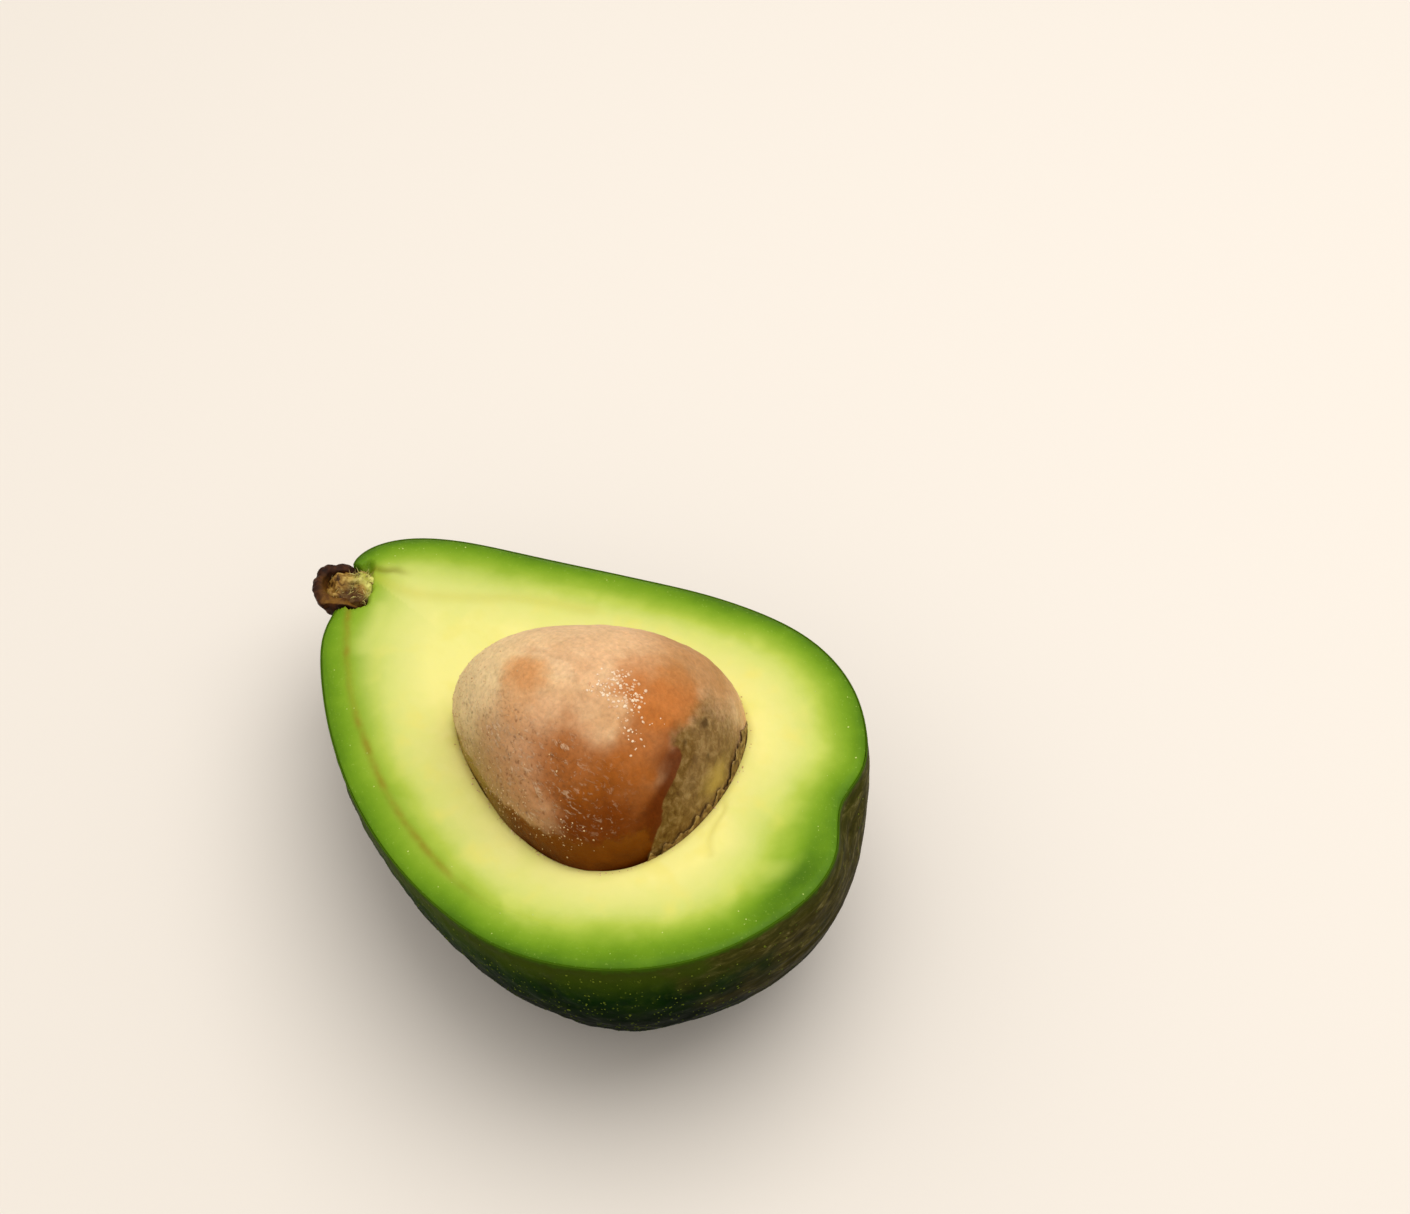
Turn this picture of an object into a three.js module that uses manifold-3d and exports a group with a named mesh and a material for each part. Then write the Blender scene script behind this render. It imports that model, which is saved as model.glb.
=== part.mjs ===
// Avocado half: a pear-shaped fruit cut lengthwise through its middle, with the whole seed still in
// its hollow and half of the short stem stub at the narrow end. It lies on its rounded back, cut face
// up and narrow end a little lower, because that is how it balances.
//
// Millimetres. The fruit is shaped in its own frame: the cut face is the plane z = 0, +X runs from the
// narrow stem end to the broad end. The whole half is then tipped onto the surface it lies on: z = 0
// there, with the origin at the middle of the footprint's bounding box.

import * as THREE from 'three';
import { mergeVertices } from 'three/addons/utils/BufferGeometryUtils.js';
import Module from 'manifold-3d';

// ---- Driving dimensions ------------------------------------------------------------------------

const FRUIT_LENGTH = 105.6; // narrow end to broad end
const FULL_SIDE = 36.9; // cut face, from the long axis out to the +Y side
const LEAN_SIDE = 35.3; // cut face, from the long axis out to the -Y side
const FRUIT_DEPTH = 35; // from the cut face down to the rounded back
const SECTION_FULLNESS = 2.2; // 2 is an ellipse across the fruit, more is fuller at the shoulders

const SEED_LENGTH = 46;
const SEED_WIDTH = 37; // at its middle, before the swell towards the broad end
const SEED_HEIGHT = 40;
const SEED_SWELL = 0.44; // how much wider it is at the broad end than at its middle, as a share
const SEED_AHEAD = 8.3; // seed centre, from the middle of the fruit's length
const SEED_ASIDE = -0.9; // seed centre, from the long axis
const SEED_TURN = THREE.MathUtils.degToRad(18); // seed axis against the fruit's long axis

const STEM_DIAMETER = 9.4;
const STEM_LENGTH = 6.2; // standing out of its dimple
const STEM_ROOT = 2.6; // sunk in the flesh
const STEM_ASIDE = -5.6; // foot of the stem, from the long axis
const STEM_INSET = 3.2; // foot of the stem, from the narrow tip of the smooth fruit
const STEM_TURN = THREE.MathUtils.degToRad(50); // stem axis, swung from the long axis towards -Y

const DIMPLE_DEPTH = 3.4; // how far the flesh dips around the stem
const DIMPLE_REACH = 7.5; // how far from the stem's foot the dip fades out

const CLEARANCE = 0.3; // between the seed or the stem and the flesh
const PITCH = THREE.MathUtils.degToRad(9); // narrow end down, where the half balances
const REST_SHAVE = 0.8; // height of the shallow cap pressed flat where the fruit rests

// ---- Fineness ----------------------------------------------------------------------------------

const FRUIT_ROUND = 72; // facets around the long axis
const FRUIT_LONG = 44; // facets from end to end
const SEED_ROUND = 40;
const SEED_LONG = 26;
const STEM_ROUND = 28;
const STEM_CURVE = 5; // facets in the rounded edge of the stub
const CURVE_SAMPLES = 181; // one a degree, to find a curve's widest point
const SWEEP = 400; // larger than the fruit, for the solids that cut it

// ---- Outline of the fruit ----------------------------------------------------------------------

// Half-width against the angle from the broad end (0) to the narrow end (PI). Three swell terms turn
// a circle into each side's pear curve, and the curve is scaled so that its widest point is 1.
function pearCurve([first, second, third]) {
  const raw = (angle) =>
    Math.sin(angle) *
    (1 + first * Math.cos(angle) + second * Math.cos(2 * angle) + third * Math.cos(3 * angle));
  const samples = Array.from({ length: CURVE_SAMPLES }, (_, i) => raw((i * Math.PI) / (CURVE_SAMPLES - 1)));
  const widest = Math.max(...samples);
  return (angle) => raw(angle) / widest;
}

const fullCurve = pearCurve([0.244, -0.047, -0.103]);
const leanCurve = pearCurve([0.416, -0.013, 0.036]);
const depthCurve = pearCurve([0.38, 0, 0.02]);

const stemAxis = new THREE.Vector3(-Math.cos(STEM_TURN), -Math.sin(STEM_TURN), 0);
const stemFoot = new THREE.Vector3(STEM_INSET - FRUIT_LENGTH / 2, STEM_ASIDE, 0);

function fuller(share) {
  return Math.sign(share) * Math.abs(share) ** (2 / SECTION_FULLNESS);
}

// Takes a point of the unit sphere to the fruit's surface. The two sides of the cut face differ a
// little, and the section blends from one to the other round the back.
function fruitPoint(unit) {
  const angle = Math.acos(THREE.MathUtils.clamp(unit.x, -1, 1));
  const ring = Math.hypot(unit.y, unit.z) || 1;
  const across = fuller(unit.y / ring);
  const up = fuller(unit.z / ring);
  const full = FULL_SIDE * fullCurve(angle);
  const lean = LEAN_SIDE * leanCurve(angle);
  const side = (full + lean) / 2 + (across * (full - lean)) / 2;
  const point = new THREE.Vector3(
    (FRUIT_LENGTH / 2) * unit.x,
    side * across,
    FRUIT_DEPTH * depthCurve(angle) * up,
  );
  return point.addScaledVector(stemAxis, -dimpleAt(point));
}

// The dip fades smoothly from DIMPLE_DEPTH at the stem's foot to nothing well outside the stem.
function dimpleAt(point) {
  return DIMPLE_DEPTH * Math.exp(-((point.distanceTo(stemFoot) / DIMPLE_REACH) ** 2));
}

// ---- Outline of the seed -----------------------------------------------------------------------

// An egg, wider towards the broad end of the fruit. `gap` grows it into the hollow that it sits in.

function seedPoint(unit, gap) {
  const point = new THREE.Vector3(
    (SEED_LENGTH / 2 + gap) * unit.x,
    (SEED_WIDTH / 2 + gap) * unit.y * (1 + SEED_SWELL * unit.x),
    (SEED_HEIGHT / 2 + gap) * unit.z,
  );
  point.applyAxisAngle(new THREE.Vector3(0, 0, 1), SEED_TURN);
  return point.add(new THREE.Vector3(SEED_AHEAD, SEED_ASIDE, 0));
}

// ---- Geometry helpers --------------------------------------------------------------------------

const manifold = await Module();
manifold.setup();

function toSolid(geometry) {
  const bare = geometry.clone();
  bare.deleteAttribute('normal');
  bare.deleteAttribute('uv');
  const merged = mergeVertices(bare);
  const mesh = new manifold.Mesh({
    numProp: 3,
    vertProperties: new Float32Array(merged.attributes.position.array),
    triVerts: new Uint32Array(merged.index.array),
  });
  return new manifold.Manifold(mesh);
}

function toGeometry(solid) {
  const mesh = solid.getMesh();
  const geometry = new THREE.BufferGeometry();
  geometry.setAttribute('position', new THREE.BufferAttribute(mesh.vertProperties, 3));
  geometry.setIndex(new THREE.BufferAttribute(mesh.triVerts, 1));
  geometry.computeVertexNormals();
  return geometry;
}

// A ball whose poles lie on the X axis, each of its points moved to `place(point)`.
function shapedBall(facetsRound, facetsLong, place) {
  const geometry = new THREE.SphereGeometry(1, facetsRound, facetsLong);
  geometry.rotateZ(-Math.PI / 2);
  const positions = geometry.attributes.position;
  const unit = new THREE.Vector3();
  for (let i = 0; i < positions.count; i += 1) {
    unit.fromBufferAttribute(positions, i);
    positions.setXYZ(i, ...place(unit).toArray());
  }
  return geometry;
}

// Everything on one side of a level plane: below z = top, or above z = top - SWEEP.
function slabBelow(top) {
  return new THREE.BoxGeometry(SWEEP, SWEEP, SWEEP).translate(0, 0, top - SWEEP / 2);
}

// ---- Stem stub ---------------------------------------------------------------------------------

// A short round stub on its axis, with a rounded outer edge. `gap` grows it into its socket.
function stemGeometry(gap) {
  const radius = STEM_DIAMETER / 2 + gap;
  const tip = STEM_LENGTH + gap;
  const root = -STEM_ROOT - gap;
  const rounding = STEM_DIAMETER / 3;
  const profile = [new THREE.Vector2(0, root), new THREE.Vector2(radius, root)];
  for (let i = 0; i <= STEM_CURVE; i += 1) {
    const turn = (i / STEM_CURVE) * (Math.PI / 2);
    const out = radius - rounding + rounding * Math.cos(turn);
    const along = tip - rounding + rounding * Math.sin(turn);
    profile.push(new THREE.Vector2(out, along));
  }
  profile.push(new THREE.Vector2(0, tip));
  const geometry = new THREE.LatheGeometry(profile, STEM_ROUND);
  const swing = new THREE.Quaternion().setFromUnitVectors(new THREE.Vector3(0, 1, 0), stemAxis);
  geometry.applyQuaternion(swing);
  const base = stemFoot.clone().addScaledVector(stemAxis, -DIMPLE_DEPTH);
  geometry.translate(base.x, base.y, base.z);
  return geometry;
}

// ---- The three pieces --------------------------------------------------------------------------

const knifeSide = toSolid(slabBelow(0));

// The resting surface in the fruit's own frame: it is level once the half is tipped by PITCH, and it
// shaves REST_SHAVE off the lowest point of the tipped back.
function restingSlab(fruitGeometry) {
  const tipped = fruitGeometry.clone().rotateY(-PITCH);
  tipped.computeBoundingBox();
  const slab = slabBelow(tipped.boundingBox.min.z + REST_SHAVE);
  return toSolid(slab.rotateY(PITCH));
}

const wholeFruit = shapedBall(FRUIT_ROUND, FRUIT_LONG, fruitPoint);
const seedBall = shapedBall(SEED_ROUND, SEED_LONG, (unit) => seedPoint(unit, 0));
const seedHollow = shapedBall(SEED_ROUND, SEED_LONG, (unit) => seedPoint(unit, CLEARANCE));

const fruitHalf = toSolid(wholeFruit)
  .intersect(knifeSide)
  .subtract(restingSlab(wholeFruit))
  .subtract(toSolid(seedHollow))
  .subtract(toSolid(stemGeometry(CLEARANCE)));

const stemHalf = toSolid(stemGeometry(0)).intersect(knifeSide);

// ---- Scene -------------------------------------------------------------------------------------

function piece(name, geometry, look) {
  const mesh = new THREE.Mesh(geometry, new THREE.MeshStandardMaterial({ metalness: 0, ...look }));
  mesh.name = name;
  return mesh;
}

const fruitFrame = new THREE.Group();
fruitFrame.rotation.y = -PITCH;
fruitFrame.add(
  piece('fruit_half', toGeometry(fruitHalf), { color: 0xd8dc7a, roughness: 0.4 }),
  piece('seed', seedBall, { color: 0xb9835c, roughness: 0.55 }),
  piece('stem', toGeometry(stemHalf), { color: 0x4a2a16, roughness: 0.8 }),
);

const avocado = new THREE.Group();
avocado.add(fruitFrame);

const bounds = new THREE.Box3().setFromObject(avocado, true);
const middle = bounds.getCenter(new THREE.Vector3());
fruitFrame.position.set(-middle.x, -middle.y, -bounds.min.z);

export default avocado;
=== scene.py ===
# %% [markdown]
# # An avocado half, with its seed and stem stub
#
# The frame holds three plain solids: the fruit half, the seed and the stem. This script dresses
# them. The fruit half becomes two pieces that touch: the flesh, with its cut face, and the thin skin
# round the back. Everything is in metres, in the frame's own place.
#
# The work goes from big to small: shapes made from a formula in rows of points, then soft noise
# pushed into those points, then materials, and last the small things that are scattered on top.

# %% Load the frame
import math
from itertools import product

import bpy
import numpy as np
from mathutils import Matrix, Vector


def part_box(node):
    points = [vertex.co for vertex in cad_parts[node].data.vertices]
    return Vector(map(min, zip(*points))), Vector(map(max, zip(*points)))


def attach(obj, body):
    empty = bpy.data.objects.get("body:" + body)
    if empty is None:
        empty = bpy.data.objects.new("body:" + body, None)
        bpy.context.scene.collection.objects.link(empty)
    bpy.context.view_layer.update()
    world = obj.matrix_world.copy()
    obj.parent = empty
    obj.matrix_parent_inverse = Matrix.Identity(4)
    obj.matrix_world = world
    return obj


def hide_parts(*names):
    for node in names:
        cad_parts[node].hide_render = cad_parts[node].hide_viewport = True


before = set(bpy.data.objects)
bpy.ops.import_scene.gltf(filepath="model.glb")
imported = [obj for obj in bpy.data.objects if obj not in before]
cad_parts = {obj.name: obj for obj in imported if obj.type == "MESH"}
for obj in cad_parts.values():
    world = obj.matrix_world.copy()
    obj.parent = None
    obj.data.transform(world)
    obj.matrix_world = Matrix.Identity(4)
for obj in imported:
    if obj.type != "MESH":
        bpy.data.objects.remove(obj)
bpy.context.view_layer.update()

# %% [markdown]
# ## Sizes
#
# The fruit is a pear shape that is easiest to describe lying level: its cut face on the plane
# z = 0 and its long axis along X. It really lies a little nose-down, because that is where it
# balances. So every shape is made level, in the fruit's own axes, and then tipped into place. The
# place itself comes from the frame's box of the fruit.

# %% Sizes of the fruit, the seed and the stem
MM = 0.001
FRUIT_LENGTH = 105.6 * MM
FULL_SIDE = 36.9 * MM
LEAN_SIDE = 35.3 * MM
FRUIT_DEPTH = 35.0 * MM
SECTION_FULLNESS = 2.2
PITCH = math.radians(9)

SEED_HALF = np.array([23.0, 18.5, 20.0]) * MM
SEED_SWELL = 0.44
SEED_BLUNT = 0.04
SEED_CENTRE = np.array([8.3, -0.9, 0.0]) * MM
SEED_TURN = math.radians(18)

STEM_RADIUS = 4.7 * MM
STEM_LENGTH = 6.2 * MM
STEM_ROOT = 2.6 * MM
STEM_TURN = math.radians(50)
STEM_FOOT = np.array([-49.6, -5.6, 0.0]) * MM
DIMPLE_DEPTH = 3.4 * MM
DIMPLE_REACH = 7.5 * MM

STEM_AXIS = np.array([-math.cos(STEM_TURN), -math.sin(STEM_TURN), 0.0])
STEM_BASE = STEM_FOOT - DIMPLE_DEPTH * STEM_AXIS
print("stem base at (mm):", (STEM_BASE / MM).round(2))

# %% [markdown]
# ## Soft steps and soft noise
#
# Nothing on a fruit starts or stops sharply, so every edge here is a soft step, a window between two
# soft steps, or a bell. Grown things are never exactly round either. A lattice of random values,
# blended smoothly between its corners, gives hills and hollows of a chosen size. Finer and fainter
# layers of the same noise give a natural surface. The values come from a fixed seed, so every run
# is alike.

# %% Soft steps
TINY = 1e-12


def smooth_step(low, high, value):
    """0 below `low`, 1 above `high`, and an even S-curve between."""
    t = np.clip((value - low) / (high - low), 0, 1)
    return t * t * (3 - 2 * t)


def window(value, rise, fall):
    """1 between two soft steps: up over the range `rise`, and down again over the range `fall`."""
    return smooth_step(*rise, value) * (1 - smooth_step(*fall, value))


def bell(value, middle, width):
    return np.exp(-(((value - middle) / width) ** 2))


print("halfway up a soft step:", smooth_step(0, 1, 0.5))

# %% Soft noise
LATTICE = 32


def soft_noise(points, size, seed):
    """Smooth values from -1 to 1 at each point, with hills about `size` metres across."""
    values = np.random.default_rng(seed).uniform(-1, 1, (LATTICE, LATTICE, LATTICE))
    place = points / size
    cell = np.floor(place).astype(int)
    part = place - cell
    part = part * part * (3 - 2 * part)
    total = np.zeros(len(points))
    for corner in product((0, 1), repeat=3):
        weight = np.prod(np.where(corner, part, 1 - part), axis=1)
        i, j, k = ((cell + corner) % LATTICE).T
        total += weight * values[i, j, k]
    return total


def layered_noise(points, size, seed, layers=3):
    """Soft noise with finer, fainter layers on top."""
    return sum(soft_noise(points, size / 2**n, seed + n) / 2**n for n in range(layers))


print("noise at one point:", layered_noise(np.ones((1, 3)), 0.3, 1).round(3))

# %% [markdown]
# ## The pear shape
#
# Each side of the cut face is a circle that three gentle swell terms turn into a pear. The same
# idea gives the depth of the back. A point of a plain ball is then moved to the fruit: how far it
# lies along X picks the place along the pear, and its angle round X picks the side. A ball that is
# moved by a formula stays closed and even, which modelling by hand would have to take care of.

# %% From a ball to the fruit
CURVE_SAMPLES = 181


def pear_curve(first, second, third):
    """Half-width against the angle from the broad end (0) to the narrow end (pi), 1 at its widest."""

    def raw(angle):
        swell = first * np.cos(angle) + second * np.cos(2 * angle) + third * np.cos(3 * angle)
        return np.sin(angle) * (1 + swell)

    widest = raw(np.linspace(0, math.pi, CURVE_SAMPLES)).max()
    return lambda angle: raw(angle) / widest


full_curve = pear_curve(0.244, -0.047, -0.103)
lean_curve = pear_curve(0.416, -0.013, 0.036)
depth_curve = pear_curve(0.38, 0.0, 0.02)


def fuller(share):
    """A coordinate of a circle moved to a slightly squarer section."""
    return np.sign(share) * np.abs(share) ** (2 / SECTION_FULLNESS)


def fruit_surface(unit):
    """Take points of the unit ball to the smooth outside of the whole fruit."""
    angle = np.arccos(np.clip(unit[:, 0], -1, 1))
    ring = np.maximum(np.hypot(unit[:, 1], unit[:, 2]), TINY)
    across, up = fuller(unit[:, 1] / ring), fuller(unit[:, 2] / ring)
    full, lean = FULL_SIDE * full_curve(angle), LEAN_SIDE * lean_curve(angle)
    side = (full + lean) / 2 + across * (full - lean) / 2
    along = FRUIT_LENGTH / 2 * unit[:, 0]
    points = np.stack([along, side * across, FRUIT_DEPTH * depth_curve(angle) * up], axis=1)
    from_foot = np.linalg.norm(points - STEM_FOOT, axis=1)
    dip = DIMPLE_DEPTH * bell(from_foot, 0, DIMPLE_REACH)
    return points - dip[:, None] * STEM_AXIS


print("pear half-widths:", full_curve(np.radians([45, 90, 135])).round(3))

# %% From a ball to the seed
def seed_surface(unit, gap=0.0):
    """Take points of the unit ball to the seed, an egg that is wider at the fruit's broad end."""
    points = unit * (SEED_HALF + np.reshape(gap, (-1, 1)))
    points[:, 1] *= 1 + SEED_SWELL * unit[:, 0]
    points[:, 0] *= 1 - SEED_BLUNT * np.maximum(unit[:, 0], 0) ** 2
    cos, sin = math.cos(SEED_TURN), math.sin(SEED_TURN)
    turned = points @ np.array([[cos, sin, 0], [-sin, cos, 0], [0, 0, 1]])
    return turned + SEED_CENTRE


print("seed reaches (mm):", (seed_surface(np.eye(3)) / MM).max(axis=0).round(1))

# %% [markdown]
# ## Rows of points
#
# Every main piece is made the same way: rings of points, one above the other, with one point at
# each end. Rings are easy to bend, because a ring knows its neighbours, and the closed result has
# no seam. A ball seen from above is such a stack: each ring has a dip angle below the level plane.

# %% Rings on a ball
DEEPEST = math.radians(89.2)


def ball_ring(count, dip):
    """One ring of the unit ball, `dip` radians below the level plane, starting at +X."""
    turn = np.linspace(0, 2 * math.pi, count, endpoint=False)
    x, y = np.cos(turn) * math.cos(dip), np.sin(turn) * math.cos(dip)
    return np.stack([x, y, np.full(count, -math.sin(dip))], axis=1)


def ring_normals(rings):
    """Unit normals of a stack of rings, from the slopes along and round it."""
    round_it = np.roll(rings, -1, axis=1) - np.roll(rings, 1, axis=1)
    along = np.gradient(rings, axis=0)
    normals = np.cross(round_it, along)
    return normals / np.maximum(np.linalg.norm(normals, axis=2, keepdims=True), TINY)


def turn_of(points):
    """Angle of each point round the upright axis, in degrees, with 0 along +X."""
    return np.degrees(np.arctan2(points[:, 1], points[:, 0]))


print("a ring of four turns by", turn_of(ball_ring(4, 0)).round(), "degrees")

# %% [markdown]
# Blender can build a mesh from lists in Python, but that is slow for a hundred thousand points. Its
# mesh data takes whole arrays at once instead. The signed volume tells whether the faces point
# outwards: if it is negative, every face is turned over.

# %% A mesh from points and faces
def new_piece(name, points, quads, triangles):
    """A smooth mesh from points and faces, its faces turned outwards, as an object in the scene."""
    split = np.concatenate([triangles, quads[:, [0, 1, 2]], quads[:, [0, 2, 3]]])
    a, b, c = points[split].transpose(1, 0, 2)
    volume = np.einsum("ij,ij->", a, np.cross(b, c)) / 6
    if volume < 0:
        quads, triangles = quads[:, ::-1], triangles[:, ::-1]
    corners = np.concatenate([quads.ravel(), triangles.ravel()])
    starts = np.concatenate([np.arange(len(quads)) * 4, quads.size + np.arange(len(triangles)) * 3])
    mesh = bpy.data.meshes.new(name)
    mesh.vertices.add(len(points))
    mesh.vertices.foreach_set("co", points.astype(np.float32).ravel())
    mesh.loops.add(len(corners))
    mesh.loops.foreach_set("vertex_index", corners.astype(np.int32))
    mesh.polygons.add(len(starts))
    mesh.polygons.foreach_set("loop_start", starts.astype(np.int32))
    mesh.update(calc_edges=True)
    mesh.shade_smooth()
    piece = bpy.data.objects.new(name, mesh)
    bpy.context.scene.collection.objects.link(piece)
    print(name, len(points), "points,", round(abs(volume) / MM**3 / 1000, 3), "cm3")
    return piece


# %% A mesh from rings
def mesh_from_rings(name, rings):
    """A closed piece: quads between rings, and a fan of triangles to a middle point at each end."""
    rows, count, _ = rings.shape
    ends = rings[[0, -1]].mean(axis=1)
    points = np.concatenate([rings.reshape(-1, 3), ends])
    here = np.arange(count)
    after = (here + 1) % count
    low = (np.arange(rows - 1) * count)[:, None]
    high = low + count
    quads = np.stack([low + here, low + after, high + after, high + here], axis=2).reshape(-1, 4)
    first, last = rows * count, rows * count + 1
    top = (rows - 1) * count
    first_fan = np.stack([np.full(count, first), after, here], axis=1)
    last_fan = np.stack([np.full(count, last), top + here, top + after], axis=1)
    return new_piece(name, points, quads, np.concatenate([first_fan, last_fan]))


# %% [markdown]
# A material can read numbers that are stored on a mesh's points. That is how a finish knows where
# the rim, the hollow or a vein is, whatever the shape of the piece. Each stored number is called a
# mark here. A piece made from rings has two more points than its rings, one at each end, and they
# take the value of the ring beside them.

# %% Numbers stored on a piece
def with_ends(values):
    return np.concatenate([values, values[:1], values[-1:]])


def mark(piece, **marks):
    """Store numbers, one for each ring point of a piece, for its material to read."""
    for name, values in marks.items():
        layer = piece.data.attributes.new(name, "FLOAT", "POINT")
        layer.data.foreach_set("value", with_ends(values).astype(np.float32))
    print(piece.name, "marks:", ", ".join(marks))


# %% [markdown]
# ## Where it lies
#
# Tipping the level fruit by its pitch and lining its box up with the frame's box of the fruit gives
# the place of everything else, because the seed and the stem were shaped in the same axes.

# %% Tip and place
TIP = np.array(Matrix.Rotation(-PITCH, 3, "Y"))
PROBE_AROUND = 720
PROBE_DIPS = np.linspace(0, 1.5, 90)


def tipped(points):
    return points @ TIP.T


probe = tipped(np.concatenate([fruit_surface(ball_ring(PROBE_AROUND, dip)) for dip in PROBE_DIPS]))
fruit_low, fruit_high = (np.array(corner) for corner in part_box("fruit_half"))
place = (fruit_low + fruit_high - probe.min(axis=0) - probe.max(axis=0)) / 2
place[2] = fruit_high[2] - probe[:, 2].max()
print("fruit placed at (mm):", (place / MM).round(2))


def placed(points):
    """From the fruit's level axes to the frame; rings stay rings."""
    return (tipped(points.reshape(-1, 3)) + place).reshape(points.shape)


# %% [markdown]
# ## The camera
#
# The half is looked at from above its broad end, a little to one side, with a long lens, so that
# the whole cut face shows with a crescent of skin below it. The object stands left of the middle.

# %% Camera
CAMERA_AZIMUTH = math.radians(-41.3)
CAMERA_ELEVATION = math.radians(52.1)
CAMERA_ROLL = math.radians(-1.6)
CAMERA_DISTANCE = 0.4968
CAMERA_LENS = 85
SENSOR_WIDTH = 36
NEAREST_SEEN = 0.01
AIM_RIGHT = 18.7 * MM
AIM_UP = 19.4 * MM
FACE_MIDDLE = np.array([[4.9 * MM, 0, 0]])


def add_camera():
    level = math.cos(CAMERA_ELEVATION)
    east, north = level * math.cos(CAMERA_AZIMUTH), level * math.sin(CAMERA_AZIMUTH)
    back = Vector((east, north, math.sin(CAMERA_ELEVATION)))
    turn = (back.to_track_quat("Z", "Y").to_matrix() @ Matrix.Rotation(CAMERA_ROLL, 3, "Z")).to_4x4()
    aim = Vector(placed(FACE_MIDDLE)[0])
    aim = aim + turn.col[0].xyz * AIM_RIGHT + turn.col[1].xyz * AIM_UP
    camera = bpy.data.objects.new("camera", bpy.data.cameras.new("camera"))
    camera.data.lens = CAMERA_LENS
    camera.data.sensor_width = SENSOR_WIDTH
    camera.data.clip_start = NEAREST_SEEN
    camera.matrix_world = Matrix.Translation(aim + back * CAMERA_DISTANCE) @ turn
    bpy.context.scene.collection.objects.link(camera)
    bpy.context.scene.camera = camera
    return camera


camera = add_camera()
print("camera at (mm):", [round(v / MM, 1) for v in camera.matrix_world.translation])

# %% [markdown]
# ## Light and floor
#
# Fruit looks fresh under one broad soft lamp nearly overhead and plenty of light from all round.
# The lamp makes the small wet sparkles on top of the seed. The sky is bright overhead and dimmer
# towards the horizon, which keeps the sides of the fruit deep in colour. The floor is plain and pale.

# %% The lamp
LAMP_OFFSET = Vector((0.04, 0.16, 0.55))
LAMP_SIZE = 0.55
LAMP_POWER = 1.6


def add_lamp():
    lamp = bpy.data.objects.new("lamp", bpy.data.lights.new("lamp", "AREA"))
    lamp.data.size = LAMP_SIZE
    lamp.data.energy = LAMP_POWER
    lamp.location = LAMP_OFFSET
    lamp.rotation_euler = LAMP_OFFSET.to_track_quat("Z", "Y").to_euler()
    bpy.context.scene.collection.objects.link(lamp)


add_lamp()
print("lamp of", LAMP_POWER, "W,", LAMP_SIZE, "m across")

# %% The sky
SKY_STRENGTH = 0.97
HORIZON_STRENGTH = 0.25
SKY_TOP = 0.9
SKY_COLOUR = (1.0, 0.985, 0.955, 1.0)


def add_sky():
    world = bpy.data.worlds.new("studio")
    world.use_nodes = True
    tree = world.node_tree
    height = tree.nodes.new("ShaderNodeSeparateXYZ")
    fade = tree.nodes.new("ShaderNodeMapRange")
    fade.inputs["From Max"].default_value = SKY_TOP
    fade.inputs["To Min"].default_value = HORIZON_STRENGTH
    fade.inputs["To Max"].default_value = SKY_STRENGTH
    background = tree.nodes["Background"]
    background.inputs["Color"].default_value = SKY_COLOUR
    tree.links.new(tree.nodes.new("ShaderNodeTexCoord").outputs["Generated"], height.inputs[0])
    tree.links.new(height.outputs["Z"], fade.inputs["Value"])
    tree.links.new(fade.outputs["Result"], background.inputs["Strength"])
    bpy.context.scene.world = world


add_sky()
bpy.context.scene.view_settings.view_transform = "Standard"
print("sky strength from", HORIZON_STRENGTH, "to", SKY_STRENGTH)

# %% The floor
FLOOR_HALF = 1.5
FLOOR_COLOUR = (238, 229, 218)


def to_linear(*rgb):
    """A colour given as it looks on screen (0 to 255) as the linear colour that shaders use."""
    share = [v / 255 for v in rgb]
    return tuple(v / 12.92 if v <= 0.04045 else ((v + 0.055) / 1.055) ** 2.4 for v in share) + (1.0,)


def add_floor():
    mesh = bpy.data.meshes.new("floor")
    corners = [(-1, -1), (1, -1), (1, 1), (-1, 1)]
    mesh.from_pydata([(x * FLOOR_HALF, y * FLOOR_HALF, 0.0) for x, y in corners], [], [(0, 1, 2, 3)])
    material = bpy.data.materials.new("pale_floor")
    material.use_nodes = True
    shader = material.node_tree.nodes["Principled BSDF"]
    shader.inputs["Base Color"].default_value = to_linear(*FLOOR_COLOUR)
    shader.inputs["Roughness"].default_value = 0.9
    shader.inputs["Specular IOR Level"].default_value = 0.1
    mesh.materials.append(material)
    floor = bpy.data.objects.new("floor", mesh)
    bpy.context.scene.collection.objects.link(floor)


add_floor()
print("floor", 2 * FLOOR_HALF, "m across")

# %% [markdown]
# ## The outside, in rings
#
# The outside of the half is a stack of rings, the first of them along the rim of the cut. Two things
# shape that rim. The knife's edge has let it sink a little, and at the broad end the cut passed just
# above the fullest part of the fruit, so there the rim lies a few millimetres inside the bulge.

# %% The rim
RIM_DROP = 0.4 * MM
RIM_SETTLE = 4.0 * MM
INSET_DEPTH = 11.0 * MM
NOTCH_DEPTH, NOTCH_TURN, NOTCH_WIDTH = 2.9 * MM, 21, 8
FLAT_DEPTH, FLAT_TURN, FLAT_WIDTH = 1.1 * MM, -33, 15


def rim_drop(points):
    """How far the rim has sunk: about RIM_DROP, more in some places than in others."""
    return RIM_DROP * (1 + 0.5 * soft_noise(points * [1, 1, 0], 14 * MM, 5))


def rim_inset(points):
    """How far the rim lies inside the bulge of the fruit: a notch, and a flatter stretch beside it."""
    turn = turn_of(points)
    return NOTCH_DEPTH * bell(turn, NOTCH_TURN, NOTCH_WIDTH) + FLAT_DEPTH * bell(turn, FLAT_TURN, FLAT_WIDTH)


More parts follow.
